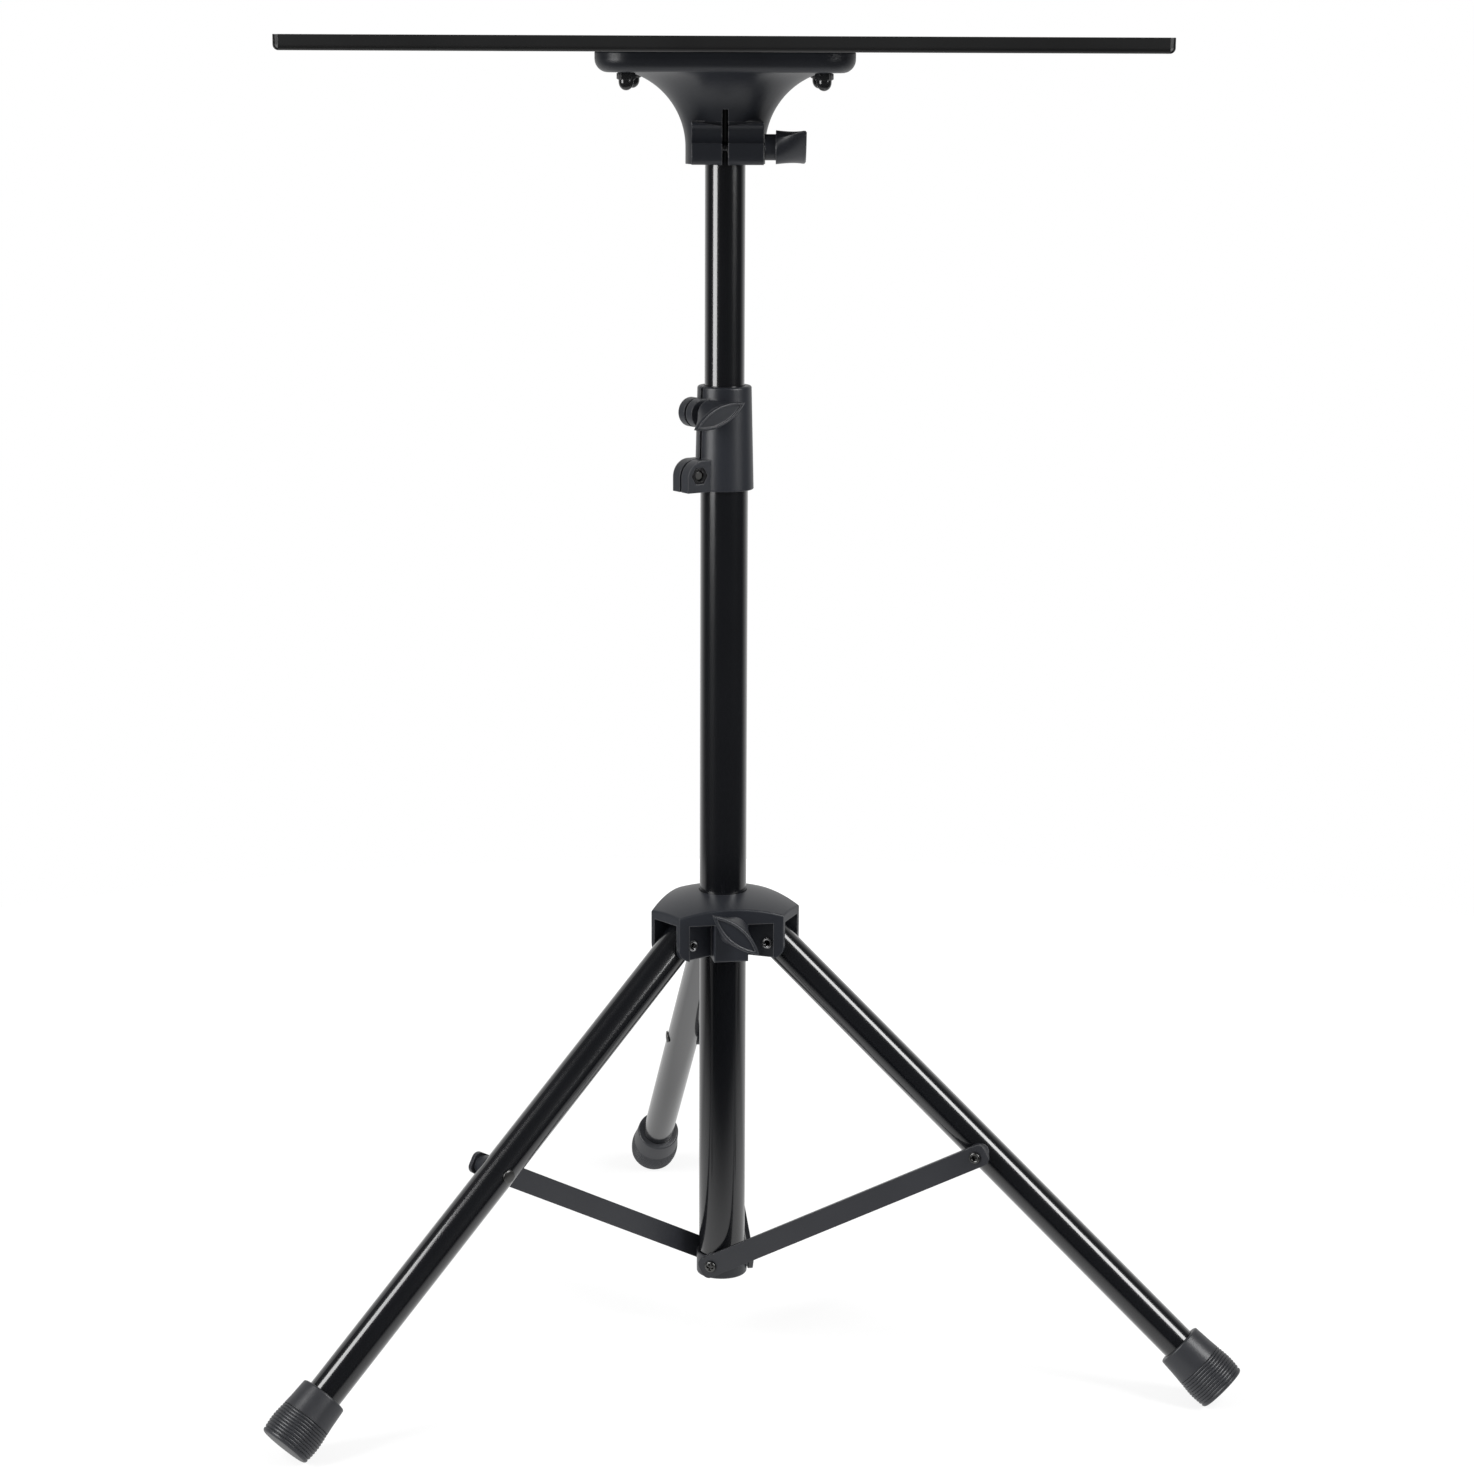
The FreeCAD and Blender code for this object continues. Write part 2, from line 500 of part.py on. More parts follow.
def make_tray_head():
    """The head: a square flange that flares down to a socket with a clamp at the front."""
    piece = Piece("tray_head")
    side = "flange_width / 2"
    inset = "flange_width / 2 - flange_corner"
    bottom = "head_height - flange_thickness"
    piece.pad(piece.outline("XY", [
        (f"-({inset})", f"-({side})", "flange_corner", "left"),
        (inset, f"-({side})"),
        (side, f"-({inset})", "flange_corner", "left"),
        (side, inset),
        (inset, side, "flange_corner", "left"),
        (f"-({inset})", side),
        (f"-({side})", inset, "flange_corner", "left"),
        (f"-({side})", f"-({inset})")], bottom), "flange_thickness")
    low = value(bottom)
    piece.soften(lambda e: on_level(e, low), "flange_round")
    high = value("head_height")
    piece.soften(lambda e: on_level(e, high), "flange_edge")
    rise = f"({bottom} - socket_height)"
    flare = "(trumpet_top_radius - socket_diameter / 2)"
    piece.spin(piece.outline("XZ", [
        ("0", "0"),
        ("socket_diameter / 2", "0"),
        ("socket_diameter / 2", "socket_height"),
        ("trumpet_top_radius", bottom, f"({flare} ^ 2 + {rise} ^ 2) / (2 * {flare})", "right"),
        ("trumpet_top_radius", f"{bottom} + flange_thickness / 2"),
        ("0", f"{bottom} + flange_thickness / 2")]))
    bow = "sqrt(clamp_hollow_radius ^ 2 - (clamp_hollow_radius - clamp_hollow_depth) ^ 2)"
    piece.pad(piece.outline("YZ", [
        ("-socket_diameter / 6", "clamp_height"),
        ("-socket_diameter / 6", "0"),
        ("clamp_foot_round - clamp_front", "0"),
        ("-clamp_front", "clamp_foot_round", "clamp_foot_round", "right"),
        ("-clamp_front", f"clamp_hollow_height - {bow}"),
        ("-clamp_front", f"clamp_hollow_height + {bow}", "clamp_hollow_radius", "left"),
        ("-clamp_front", "clamp_height")], "-clamp_left"), "clamp_left + clamp_right")
    piece.cut(piece.outline("XZ", [
        ("-clamp_left", "clamp_height"),
        ("0", "clamp_height - clamp_dip"),
        ("clamp_right", "clamp_height")], "socket_diameter / 2"), "clamp_front", flip=True)
    piece.cut(piece.circles("XY", [("0", "0", "upper_tube_diameter / 2 + running_gap")]),
              "socket_depth + seat_gap", flip=True)
    piece.cut(piece.outline("XZ", [
        ("-clamp_slit / 2", "-1"),
        ("clamp_slit / 2", "-1"),
        ("clamp_slit / 2", "clamp_slit_height"),
        ("-clamp_slit / 2", "clamp_slit_height")]), "trumpet_top_radius", flip=True)
    piece.cut(piece.circles("YZ", [
        ("-clamp_bolt_reach", "clamp_bolt_height", "pivot_diameter / 2 + seat_gap")]),
        "socket_diameter + clamp_right", both=True)
    piece.cut(piece.circles("XY", screw_rounds("pivot_diameter / 2 + seat_gap")),
              "head_height + 1", flip=True)
    piece.place(Vector(0, 0, HEAD_BOTTOM), Vector(1, 0, 0), UP)


def make_tray_fixings():
    """Four flush screws through tray and flange, and the rounded nuts below."""
    screws = Piece("tray_screws")
    screws.pad(screws.circles("XY", screw_rounds("screw_head_diameter / 2")), "tray_sheet")
    screws.pad(screws.circles("XY", screw_rounds("pivot_diameter / 2")),
               "flange_thickness + cap_nut_height / 2", flip=True)
    screws.place(Vector(0, 0, TRAY_BOTTOM), Vector(1, 0, 0), UP)
    nuts = Piece("tray_cap_nuts")
    nuts.pad(nuts.circles("XY", screw_rounds("nut_width / 2 + 0.4")), "cap_nut_height", flip=True)
    deep = -value("cap_nut_height")
    nuts.soften(lambda e: on_level(e, deep), "nut_width / 2 - 0.2")
    nuts.cut(nuts.circles("XY", screw_rounds("pivot_diameter / 2 + seat_gap")),
             "cap_nut_height / 2 + 0.5")
    under = TRAY_BOTTOM - value("flange_thickness + seat_gap")
    nuts.place(Vector(0, 0, under), Vector(1, 0, 0), UP)


# Wing knobs: local +Z points out of the seat
def leaf_corners(inset):
    """A pointed leaf, drawn in from the end of a wing knob by `inset`."""
    length = f"(knob_leaf_length / 2 - 2 * ({inset}))"
    width = f"(knob_leaf_width / 2 - ({inset}))"
    bow = f"({length} ^ 2 + {width} ^ 2) / (2 * {width})"
    return [(length, "0", bow, "left"), ("0", width, bow, "left"),
            (f"-{length}", "0", bow, "left"), ("0", f"-{width}", bow, "left")]


def round_corners(radius):
    """A circle in four quarters, to match a leaf."""
    return [(radius, "0", radius, "left"), ("0", radius, radius, "left"),
            (f"-{radius}", "0", radius, "left"), ("0", f"-{radius}", radius, "left")]


def make_knob(label, stud_length, seat, x_dir, z_dir, rounds, top):
    """A wing knob on a threaded stud.

    The knob runs through round sections, each (radius, height), to a leaf-shaped end at
    `top`, which is hollowed a little inside its rim.
    """
    knob = Piece(label)
    sections = [knob.outline("XY", round_corners(radius), height) for radius, height in rounds]
    for inset, down in (("0", "knob_leaf_edge + knob_leaf_land"), ("0", "knob_leaf_edge"),
                        ("knob_leaf_edge", "0")):
        sections.append(knob.outline("XY", leaf_corners(inset), f"{top} - ({down})"))
    knob.loft(sections[0], sections[1:])
    knob.cut(knob.outline("XY", leaf_corners("knob_dish_rim"), top), "knob_dish_depth")
    knob.place(seat, x_dir, z_dir)
    stud = Piece(f"{label}_stud")
    stud.pad(stud.circles("XY", [("0", "0", "pivot_diameter / 2 - seat_gap")]), stud_length, flip=True)
    stud.place(seat, x_dir, z_dir)
    return knob


def turned(flat, up, degrees):
    """A direction `degrees` above `flat` in the plane of `flat` and `up`."""
    angle = math.radians(degrees)
    return flat * math.cos(angle) + up * math.sin(angle)


def make_knobs():
    """The three knobs: head clamp, height collar and hub."""
    gap = value("running_gap")
    seat = Vector(value("clamp_right") + gap, -value("clamp_bolt_reach"),
                  HEAD_BOTTOM + value("clamp_bolt_height"))
    out = Vector(1, 0, 0)
    knob = make_knob("head_knob", "clamp_right + clamp_left - 4", seat,
                     turned(Vector(0, 1, 0), UP, value("head_knob_turn")), out,
                     [("head_knob_neck_diameter / 2", "head_spacer_length")],
                     "head_spacer_length + knob_length")
    knob.pad(knob.circles("XY", [("0", "0", "head_spacer_diameter / 2")]), "head_spacer_length + 1")

    out = heading(270 + value("collar_turn"))
    seat = heading(180 + value("collar_turn")) * value("boss_reach") + out * value("boss_width / 2")
    seat = seat + out * gap + Vector(0, 0, COLLAR_BOTTOM + value("boss_height"))
    waisted = [("knob_neck_diameter / 2", "0"), ("knob_waist_diameter / 2", "knob_waist_height")]
    make_knob("collar_knob", "boss_width - 2", seat,
              turned(heading(value("collar_turn")), UP, value("collar_knob_turn")), out,
              waisted, "knob_length")

    out = heading(270 + TURN)
    face = value("hub_reach * cos(60 deg) + hub_half_width * sin(60 deg)")
    seat = out * (face + gap) + Vector(0, 0, PIVOT_HEIGHT + value("hub_knob_height"))
    make_knob("hub_knob",
              "hub_reach * cos(60 deg) + hub_half_width * sin(60 deg) - lower_tube_diameter / 2", seat,
              turned(heading(TURN), UP, value("hub_knob_turn")), out, waisted, "knob_length")


# Hub
def make_hub():
    """The sliding hub: a domed roof on six cheeks that hold the legs, and a block for its knob.

    Local +X points at the knob and the rear leg lies along -X.
    """
    piece = Piece("hub")
    reach, half = "hub_reach", "hub_half_width"
    near = (f"{reach} * cos(60 deg) + {half} * sin(60 deg)", f"{reach} * sin(60 deg) - {half} * cos(60 deg)")
    far = (f"{reach} * cos(60 deg) - {half} * sin(60 deg)", f"{reach} * sin(60 deg) + {half} * cos(60 deg)")
    piece.pad(piece.outline("XY", [
        near, far, (f"-{reach}", half), (f"-{reach}", f"-{half}"),
        (far[0], f"-({far[1]})"), (near[0], f"-({near[1]})")], "hub_roof_height"),
        "hub_crown_height - hub_roof_height + 1")
    piece.pad(piece.circles("XY", [("0", "0", "lower_tube_diameter / 2 + running_gap + hub_sleeve_wall")],
                            "-hub_cheek_drop"), "hub_cheek_drop + hub_roof_height + 1")
    piece.pad(piece.outline("XY", [
        ("lower_tube_diameter / 2", "-hub_block_width / 2"),
        (near[0], "-hub_block_width / 2"),
        (near[0], "hub_block_width / 2"),
        ("lower_tube_diameter / 2", "hub_block_width / 2")], "-hub_block_drop"),
        "hub_block_drop + hub_roof_height + 1")
    face = value(near[0])
    piece.soften(lambda e: e.BoundBox.XMin > face - 1e-6 and e.BoundBox.ZMin < 0, "hub_block_edge")
    rim = "hub_reach + 15"
    fall = f"hub_crown_height - hub_dome_radius + sqrt(hub_dome_radius ^ 2 - ({rim}) ^ 2)"
    piece.spin(piece.outline("XZ", [
        ("0", "hub_crown_height"),
        (rim, fall, "hub_dome_radius", "right"),
        (rim, "hub_crown_height + 5"),
        ("0", "hub_crown_height + 5")]), "Groove")
    inside = value("hub_reach / 2")
    under = value("hub_roof_height + 1")
    piece.soften(lambda e: e.BoundBox.ZMin > under
                 and all(math.hypot(v.X, v.Y) > inside for v in e.Vertexes), "hub_roof_edge")
    cheek = piece.pad(piece.outline("XZ", [
        ("-lower_tube_diameter / 2 - 2", "-hub_cheek_drop"),
        ("-lower_tube_diameter / 2 - 2", "hub_roof_height + 1"),
        ("-hub_reach", "hub_roof_height + 1"),
        ("-hub_reach", "hub_cheek_round - hub_cheek_drop"),
        ("hub_cheek_round - hub_reach", "-hub_cheek_drop", "hub_cheek_round", "left")]),
        "2 * hub_half_width", both=True)
    sag = "sqrt(hub_cheek_round ^ 2 - (hub_cheek_round - hub_border) ^ 2)"
    border = piece.pad(piece.outline("XZ", [
        ("hub_border - hub_reach", "hub_roof_height + 1"),
        ("-hub_reach", "hub_roof_height + 1"),
        ("-hub_reach", "hub_cheek_round - hub_cheek_drop"),
        ("hub_border - hub_reach", f"hub_cheek_round - hub_cheek_drop - {sag}", "hub_cheek_round", "left")]),
        "2 * (hub_half_width + hub_border * tan(30 deg))", both=True)
    slot = piece.cut(piece.outline("XZ", [
        ("-lower_tube_diameter / 2 - running_gap - hub_sleeve_wall", "-hub_cheek_drop - 5"),
        ("-lower_tube_diameter / 2 - running_gap - hub_sleeve_wall", "hub_roof_height"),
        ("-hub_reach - 5", "hub_roof_height"),
        ("-hub_reach - 5", "-hub_cheek_drop - 5")]),
        "leg_tube_diameter + 2 * hub_slot_gap", both=True)
    hole = piece.cut(piece.circles("XZ", [("-leg_pivot_radius", "0", "pivot_diameter / 2 + seat_gap")]),
                     "4 * hub_half_width", both=True)
    piece.around([cheek, border, slot, hole], 3)
    trim = piece.cut(piece.outline("XY", [
        (near[0], f"-({far[1]})"),
        (f"{near[0]} + hub_border", f"-({far[1]})"),
        (f"{near[0]} + hub_border", far[1]),
        (near[0], far[1])], "-hub_cheek_drop - 1"), "hub_cheek_drop + hub_roof_height + 3", flip=True)
    piece.around([trim], 3)
    piece.cut(piece.circles("XY", [("0", "0", "lower_tube_diameter / 2 + running_gap")],
                            "-hub_block_drop - 1"), "2 * hub_crown_height", flip=True)
    piece.cut(piece.circles("YZ", [("0", "hub_knob_height", "pivot_diameter / 2 + seat_gap")]),
              "hub_reach", flip=True)
    piece.place(Vector(0, 0, PIVOT_HEIGHT), heading(270 + TURN), UP)


def make_leg_pin(side):
    """The hollow pin that carries a leg in the hub."""
    piece = Piece(f"{side}_leg_pin")
    rounds = [("0", "0", "pivot_diameter / 2"), ("0", "0", "pivot_diameter / 4")]
    piece.pad(piece.circles("XY", rounds), "2 * hub_half_width + 2", both=True)
    ahead = heading(LEGS[side])
    across = heading(LEGS[side] - 90)
    piece.place(ahead * value("leg_pivot_radius") + Vector(0, 0, PIVOT_HEIGHT), ahead, across)


# Legs and braces: local +Z runs down the leg, local +Y across it to the brace
def make_leg(side):
    """A leg tube with its rubber foot, and the bolt and bushing that meet the brace."""
    ahead = heading(LEGS[side])
    across = heading(LEGS[side] - 90)
    down = ahead * math.sin(TILT) - UP * math.cos(TILT)
    pivot = ahead * value("leg_pivot_radius") + Vector(0, 0, PIVOT_HEIGHT)
    x_dir = across.cross(down)

    tube = Piece(f"{side}_leg_tube")
    rounds = [("0", "0", "leg_tube_diameter / 2"), ("0", "0", "leg_tube_diameter / 2 - leg_tube_wall")]
    tube.pad(tube.circles("XY", rounds, "-leg_overrun"), "leg_reach + leg_overrun - foot_sole")
    tube.cut(tube.circles("XZ", [
        ("0", "0", "pivot_diameter / 2 + 2 * seat_gap"),
        ("0", "brace_reach", "pivot_diameter / 2 + seat_gap")]), "2 * leg_tube_diameter", both=True)
    tube.place(pivot, x_dir, down)

    foot = Piece(f"{side}_foot")
    bore = "leg_tube_diameter / 2 + seat_gap"
    first = "foot_rib_start"
    last = "(foot_rib_start + foot_rib_pitch * (foot_rib_count - 1))"
    foot.spin(foot.outline("XZ", [
        ("0", "0"),
        ("foot_rim_radius - foot_edge", "0"),
        ("foot_rim_radius", "foot_edge", "foot_edge", "left"),
        ("foot_belly_radius", f"{first} + foot_rib_pitch"),
        ("foot_shoulder_radius", f"{last} + foot_rib_pitch"),
        ("foot_top_radius", "foot_length - foot_rim_edge"),
        ("foot_top_radius - foot_rim_edge", "foot_length", "foot_rim_edge", "left"),
        (bore, "foot_length"),
        (bore, "foot_sole"),
        ("0", "foot_sole")]))
    ring = foot.spin(foot.outline("XZ", [
        ("foot_belly_radius - foot_rib_depth", first),
        ("foot_belly_radius + 0.3", f"{first} - 0.47 * foot_rib_pitch"),
        ("foot_belly_radius + 0.3", f"{first} + 0.47 * foot_rib_pitch")]), "Groove")
    foot.along([ring], "foot_rib_pitch * (foot_rib_count - 1)", "foot_rib_count")
    foot.place(pivot + down * value("leg_reach"), x_dir * -1, down * -1)

    joint = pivot + down * value("brace_reach")
    bolt = Piece(f"{side}_leg_bolt")
    bolt.pad(bolt.circles("XY", [("0", "0", "pivot_diameter / 2")], "-leg_tube_diameter / 2 - seat_gap"),
             "leg_tube_diameter / 2 + brace_offset - running_gap")
    bolt.pad(bolt.circles("XY", [("0", "0", "pivot_diameter / 2 + 1.2")],
                          "-leg_tube_diameter / 2 - seat_gap"), "1.2", flip=True)
    bolt.place(joint, down, across)
    spacer = Piece(f"{side}_spacer")
    rounds = [("0", "0", "spacer_diameter / 2"), ("0", "0", "pivot_diameter / 2 + seat_gap")]
    spacer.pad(spacer.circles("XY", rounds, "leg_tube_diameter / 4"),
               "brace_offset - running_gap - leg_tube_diameter / 4")
    spacer.cut(spacer.circles("YZ", [("0", "0", "leg_tube_diameter / 2 + seat_gap")]),
               "2 * spacer_diameter", both=True)
    spacer.place(joint, down, across)


def make_brace(side):
    """A brace bar from the cap of the pole to a leg, its screw and its rivet."""
    ahead = heading(LEGS[side])
    across = heading(LEGS[side] - 90)
    anchor = Vector(0, 0, ANCHOR_HEIGHT)
    up_bar = ahead * math.sin(BRACE_TILT) + UP * math.cos(BRACE_TILT)
    inner = across * value("brace_offset")

    bar = Piece(f"{side}_brace")
    half = "brace_width / 2"
    end = f"{SPAN} + brace_end_length"
    bar.pad(bar.outline("XY", [
        ("brace_corner - brace_end_length", f"-{half}", "brace_corner", "left"),
        (f"{end} - brace_corner", f"-{half}"),
        (end, f"brace_corner - {half}", "brace_corner", "left"),
        (end, f"{half} - brace_corner"),
        (f"{end} - brace_corner", half, "brace_corner", "left"),
        ("brace_corner - brace_end_length", half),
        ("-brace_end_length", f"{half} - brace_corner", "brace_corner", "left"),
        ("-brace_end_length", f"brace_corner - {half}")]), "brace_thickness")
    bar.cut(bar.circles("XY", [
        ("0", "0", "pivot_diameter / 2 + 2 * seat_gap"),
        (SPAN, "0", "pivot_diameter / 2 + seat_gap")]), "brace_thickness", flip=True)
    bar.place(anchor + inner, up_bar, across)

    screw = Piece(f"{side}_brace_screw")
    screw.pad(screw.circles("XY", [("0", "0", "pivot_diameter / 2")]),
              "brace_thickness + running_gap + brace_offset - lower_tube_diameter / 2", flip=True)
    screw.pad(screw.circles("XY", [("0", "0", "rivet_head_diameter / 2")]), "rivet_head_height")
    screw.place(anchor + inner + across * value("brace_thickness + running_gap"), up_bar, across)

    rivet = Piece(f"{side}_brace_rivet")
    rivet.pad(rivet.circles("XY", [("0", "0", "pivot_diameter / 2")]), "brace_thickness", flip=True)
    rivet.pad(rivet.circles("XY", [("0", "0", "rivet_head_diameter / 2")]), "rivet_head_height")
    end = anchor + inner + up_bar * BRACE_SPAN + across * value("brace_thickness")
    rivet.place(end, up_bar, across)


def check_and_write():
    """Stop on any failed object, then write one file for each piece."""
    doc.recompute()
    for item in doc.Objects:
        if "Invalid" in item.State or "Error" in item.State:
            raise RuntimeError(f"{item.Label}: {item.State}")
    for piece in PIECES:
        shape = piece.body.Shape
        if shape.isNull() or not shape.isValid() or not shape.Solids:
            raise RuntimeError(f"{piece.label}: no valid solid")
    os.makedirs("parts", exist_ok=True)
    for piece in PIECES:
        piece.body.Shape.exportStep(f"parts/{piece.label}.step")


make_tube("lower_tube", "lower_tube_diameter", "lower_tube_wall", "lower_tube_length",
          Vector(0, 0, TUBE_BOTTOM))
make_tube("upper_tube", "upper_tube_diameter", "upper_tube_wall", "upper_tube_length",
          Vector(0, 0, UPPER_TUBE_BOTTOM))
make_base_cap()
make_height_collar()
make_collar_bolt()
make_tray()
make_tray_head()
make_tray_fixings()
make_knobs()
make_hub()
for leg_side in LEGS:
    make_leg_pin(leg_side)
    make_leg(leg_side)
    make_brace(leg_side)
check_and_write()
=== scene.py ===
"""Looks of a folding tripod stand with a laptop tray: fixings, finishes, studio and camera."""
import json
import logging
import math
from collections.abc import Callable, Sequence
from dataclasses import dataclass, field
from enum import Enum

import bmesh
import bpy
from mathutils import Matrix, Vector


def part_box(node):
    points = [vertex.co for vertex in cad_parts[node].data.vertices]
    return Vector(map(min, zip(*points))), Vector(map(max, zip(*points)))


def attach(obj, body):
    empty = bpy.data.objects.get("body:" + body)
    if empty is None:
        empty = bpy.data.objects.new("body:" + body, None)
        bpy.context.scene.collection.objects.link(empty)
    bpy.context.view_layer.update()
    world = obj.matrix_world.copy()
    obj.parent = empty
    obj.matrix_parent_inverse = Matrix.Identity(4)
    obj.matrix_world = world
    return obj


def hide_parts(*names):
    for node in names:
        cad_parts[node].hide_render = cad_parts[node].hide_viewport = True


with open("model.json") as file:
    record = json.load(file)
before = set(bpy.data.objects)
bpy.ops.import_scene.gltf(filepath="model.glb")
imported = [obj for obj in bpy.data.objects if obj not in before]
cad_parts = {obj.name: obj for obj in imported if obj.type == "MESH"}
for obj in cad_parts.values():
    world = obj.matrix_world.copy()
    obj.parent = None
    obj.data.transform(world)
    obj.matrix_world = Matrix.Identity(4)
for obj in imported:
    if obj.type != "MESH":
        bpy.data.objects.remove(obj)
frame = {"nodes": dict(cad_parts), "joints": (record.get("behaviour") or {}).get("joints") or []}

LOG = logging.getLogger("stand")
Colour = tuple[float, float, float]
Place = tuple[float, float, float]
Profile = Sequence[tuple[float, float]]
Section = Callable[[float, float], float]
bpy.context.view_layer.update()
UP = Vector((0.0, 0.0, 1.0))
WHITE = (1.0, 1.0, 1.0, 1.0)
HEXAGON_SEGMENTS = 72


class Slot(Enum):
    """The part's material slots."""

    TUBE = "tube_paint"
    TRAY = "tray_paint"
    BRACE = "brace_paint"
    PLASTIC = "plastic"
    RUBBER = "rubber"
    HARDWARE = "hardware"


class Look(Enum):
    """The finishes, each on one slot."""

    TUBE_GLOSS = "tube_gloss"
    TRAY_SATIN = "tray_satin"
    BRACE_SATIN = "brace_satin"
    MOULDED = "moulded"
    RUBBER_SKIN = "rubber_skin"
    DARK_ZINC = "dark_zinc"
    BRIGHT_ZINC = "bright_zinc"
    BLACK_GLOSS = "black_gloss"


Materials = dict[Look, bpy.types.Material]


class Grain(Enum):
    """How fine a surface texture is, as noise cells to a metre."""

    ORANGE_PEEL = 420.0
    POWDER = 1600.0
    SPARK_ETCH = 2300.0
    SKIN = 1300.0
    ZINC = 900.0


class Recess(Enum):
    """What a driver finds in the head of a screw."""

    CROSS = "cross"
    SOCKET = "socket"


# Shared effects


def new_group(name: str, inputs: dict[str, float], outputs: dict[str, str]) -> bpy.types.ShaderNodeTree:
    """Make an empty shader group with float inputs.

    Args:
        name: Name of the group.
        inputs: Input names with their defaults.
        outputs: Output names with their socket types.

    Returns:
        The group, with its input and output nodes in place.
    """
    group = bpy.data.node_groups.new(name, "ShaderNodeTree")
    for label, default in inputs.items():
        socket = group.interface.new_socket(name=label, in_out="INPUT", socket_type="NodeSocketFloat")
        socket.default_value = default
    for label, kind in outputs.items():
        group.interface.new_socket(name=label, in_out="OUTPUT", socket_type=kind)
    group.nodes.new("NodeGroupInput").name = "in"
    group.nodes.new("NodeGroupOutput").name = "out"
    return group


def maths(tree: bpy.types.NodeTree, operation: str, first: object, second: object = None) -> object:
    """Add a math node.

    Args:
        tree: Tree that takes the node.
        operation: Blender's name of the operation.
        first: A socket or a number.
        second: A socket, a number or nothing.

    Returns:
        The node's value socket.
    """
    node = tree.nodes.new("ShaderNodeMath")
    node.operation = operation
    for index, item in enumerate((first, second)):
        if item is None:
            continue
        if isinstance(item, (int, float)):
            node.inputs[index].default_value = item
        else:
            tree.links.new(item, node.inputs[index])
    return node.outputs[0]


@dataclass(frozen=True)
class Ramp:
    """A smooth change of one value with another.

    Attributes:
        start: Source value where the change begins.
        end: Source value where it ends.
        low: Result up to the start.
        high: Result from the end on.
    """

    start: float
    end: float
    low: float
    high: float


def fade(tree: bpy.types.NodeTree, source: object, ramp: Ramp) -> object:
    """Add a smooth change of a value.

    Args:
        tree: Tree that takes the node.
        source: Socket to follow.
        ramp: The change.

    Returns:
        The changed value's socket.
    """
    node = tree.nodes.new("ShaderNodeMapRange")
    node.interpolation_type = "SMOOTHSTEP"
    tree.links.new(source, node.inputs["Value"])
    for label, number in (("From Min", ramp.start), ("From Max", ramp.end),
                          ("To Min", ramp.low), ("To Max", ramp.high)):
        node.inputs[label].default_value = number
    return node.outputs["Result"]


def noise(tree: bpy.types.NodeTree, scale: object, detail: float) -> object:
    """Add a noise texture in the piece's own coordinates.

    Args:
        tree: Tree that takes the nodes.
        scale: A socket or a number of cells to a metre.
        detail: Octaves of the noise.

    Returns:
        The noise's value socket.
    """
    coords = tree.nodes.new("ShaderNodeTexCoord")
    node = tree.nodes.new("ShaderNodeTexNoise")
    node.inputs["Detail"].default_value = detail
    tree.links.new(coords.outputs["Object"], node.inputs["Vector"])
    if isinstance(scale, (int, float)):
        node.inputs["Scale"].default_value = scale
    else:
        tree.links.new(scale, node.inputs["Scale"])
    return node.outputs[0]


def build_edge_wear_and_highlight() -> bpy.types.ShaderNodeTree:
    """Make the group that finds edges and rounds their normals.

    Returns:
        A group with a rounded normal and a mask that is 1 on edges, where finishes paint scuffs and a
        painted highlight.
    """
    group = new_group(
        "edge_wear_and_highlight", {"Radius": 0.0008, "Break Up": 0.5},
        {"Mask": "NodeSocketFloat", "Rounded": "NodeSocketVector"})
    edge_gain = 5.0
    source, sink = group.nodes["in"], group.nodes["out"]
    bevel = group.nodes.new("ShaderNodeBevel")
    bevel.samples = 6
    group.links.new(source.outputs["Radius"], bevel.inputs["Radius"])
    flat = group.nodes.new("ShaderNodeNewGeometry")
    dot = group.nodes.new("ShaderNodeVectorMath")
    dot.operation = "DOT_PRODUCT"
    group.links.new(bevel.outputs[0], dot.inputs[0])
    group.links.new(flat.outputs["Normal"], dot.inputs[1])
    # The mask follows the edges; the finishes paint scuffs and a painted highlight along it.
    bent = maths(group, "SUBTRACT", 1.0, dot.outputs["Value"])
    spread = maths(group, "MULTIPLY", bent, edge_gain)
    patches = noise(group, scale=160.0, detail=3.0)
    patchy = maths(group, "MULTIPLY", patches, source.outputs["Break Up"])
    held = maths(group, "SUBTRACT", spread, patchy)
    clamp = group.nodes.new("ShaderNodeClamp")
    group.links.new(held, clamp.inputs["Value"])
    group.links.new(clamp.outputs[0], sink.inputs["Mask"])
    group.links.new(bevel.outputs[0], sink.inputs["Rounded"])
    return group


def build_surface_grain() -> bpy.types.ShaderNodeTree:
    """Make the group for fine moulded or sprayed texture.

    Returns:
        A group with a fine height and a slow variation, both about 0 to 1.
    """
    group = new_group(
        "surface_grain", {"Scale": 1000.0, "Patch Scale": 14.0},
        {"Height": "NodeSocketFloat", "Variation": "NodeSocketFloat"})
    source, sink = group.nodes["in"], group.nodes["out"]
    group.links.new(noise(group, source.outputs["Scale"], detail=2.0), sink.inputs["Height"])
    group.links.new(noise(group, source.outputs["Patch Scale"], detail=4.0), sink.inputs["Variation"])
    return group


def build_settled_dust() -> bpy.types.ShaderNodeTree:
    """Make the group for a trace of dust on faces that look up.

    Returns:
        A group with a mask of the dust.
    """
    group = new_group("settled_dust", {"Amount": 0.1}, {"Mask": "NodeSocketFloat"})
    source, sink = group.nodes["in"], group.nodes["out"]
    face = group.nodes.new("ShaderNodeNewGeometry")
    split = group.nodes.new("ShaderNodeSeparateXYZ")
    group.links.new(face.outputs["Normal"], split.inputs[0])
    up = maths(group, "MAXIMUM", split.outputs["Z"], 0.0)
    specks = maths(group, "MULTIPLY", noise(group, scale=260.0, detail=5.0), up)
    group.links.new(maths(group, "MULTIPLY", specks, source.outputs["Amount"]), sink.inputs["Mask"])
    return group


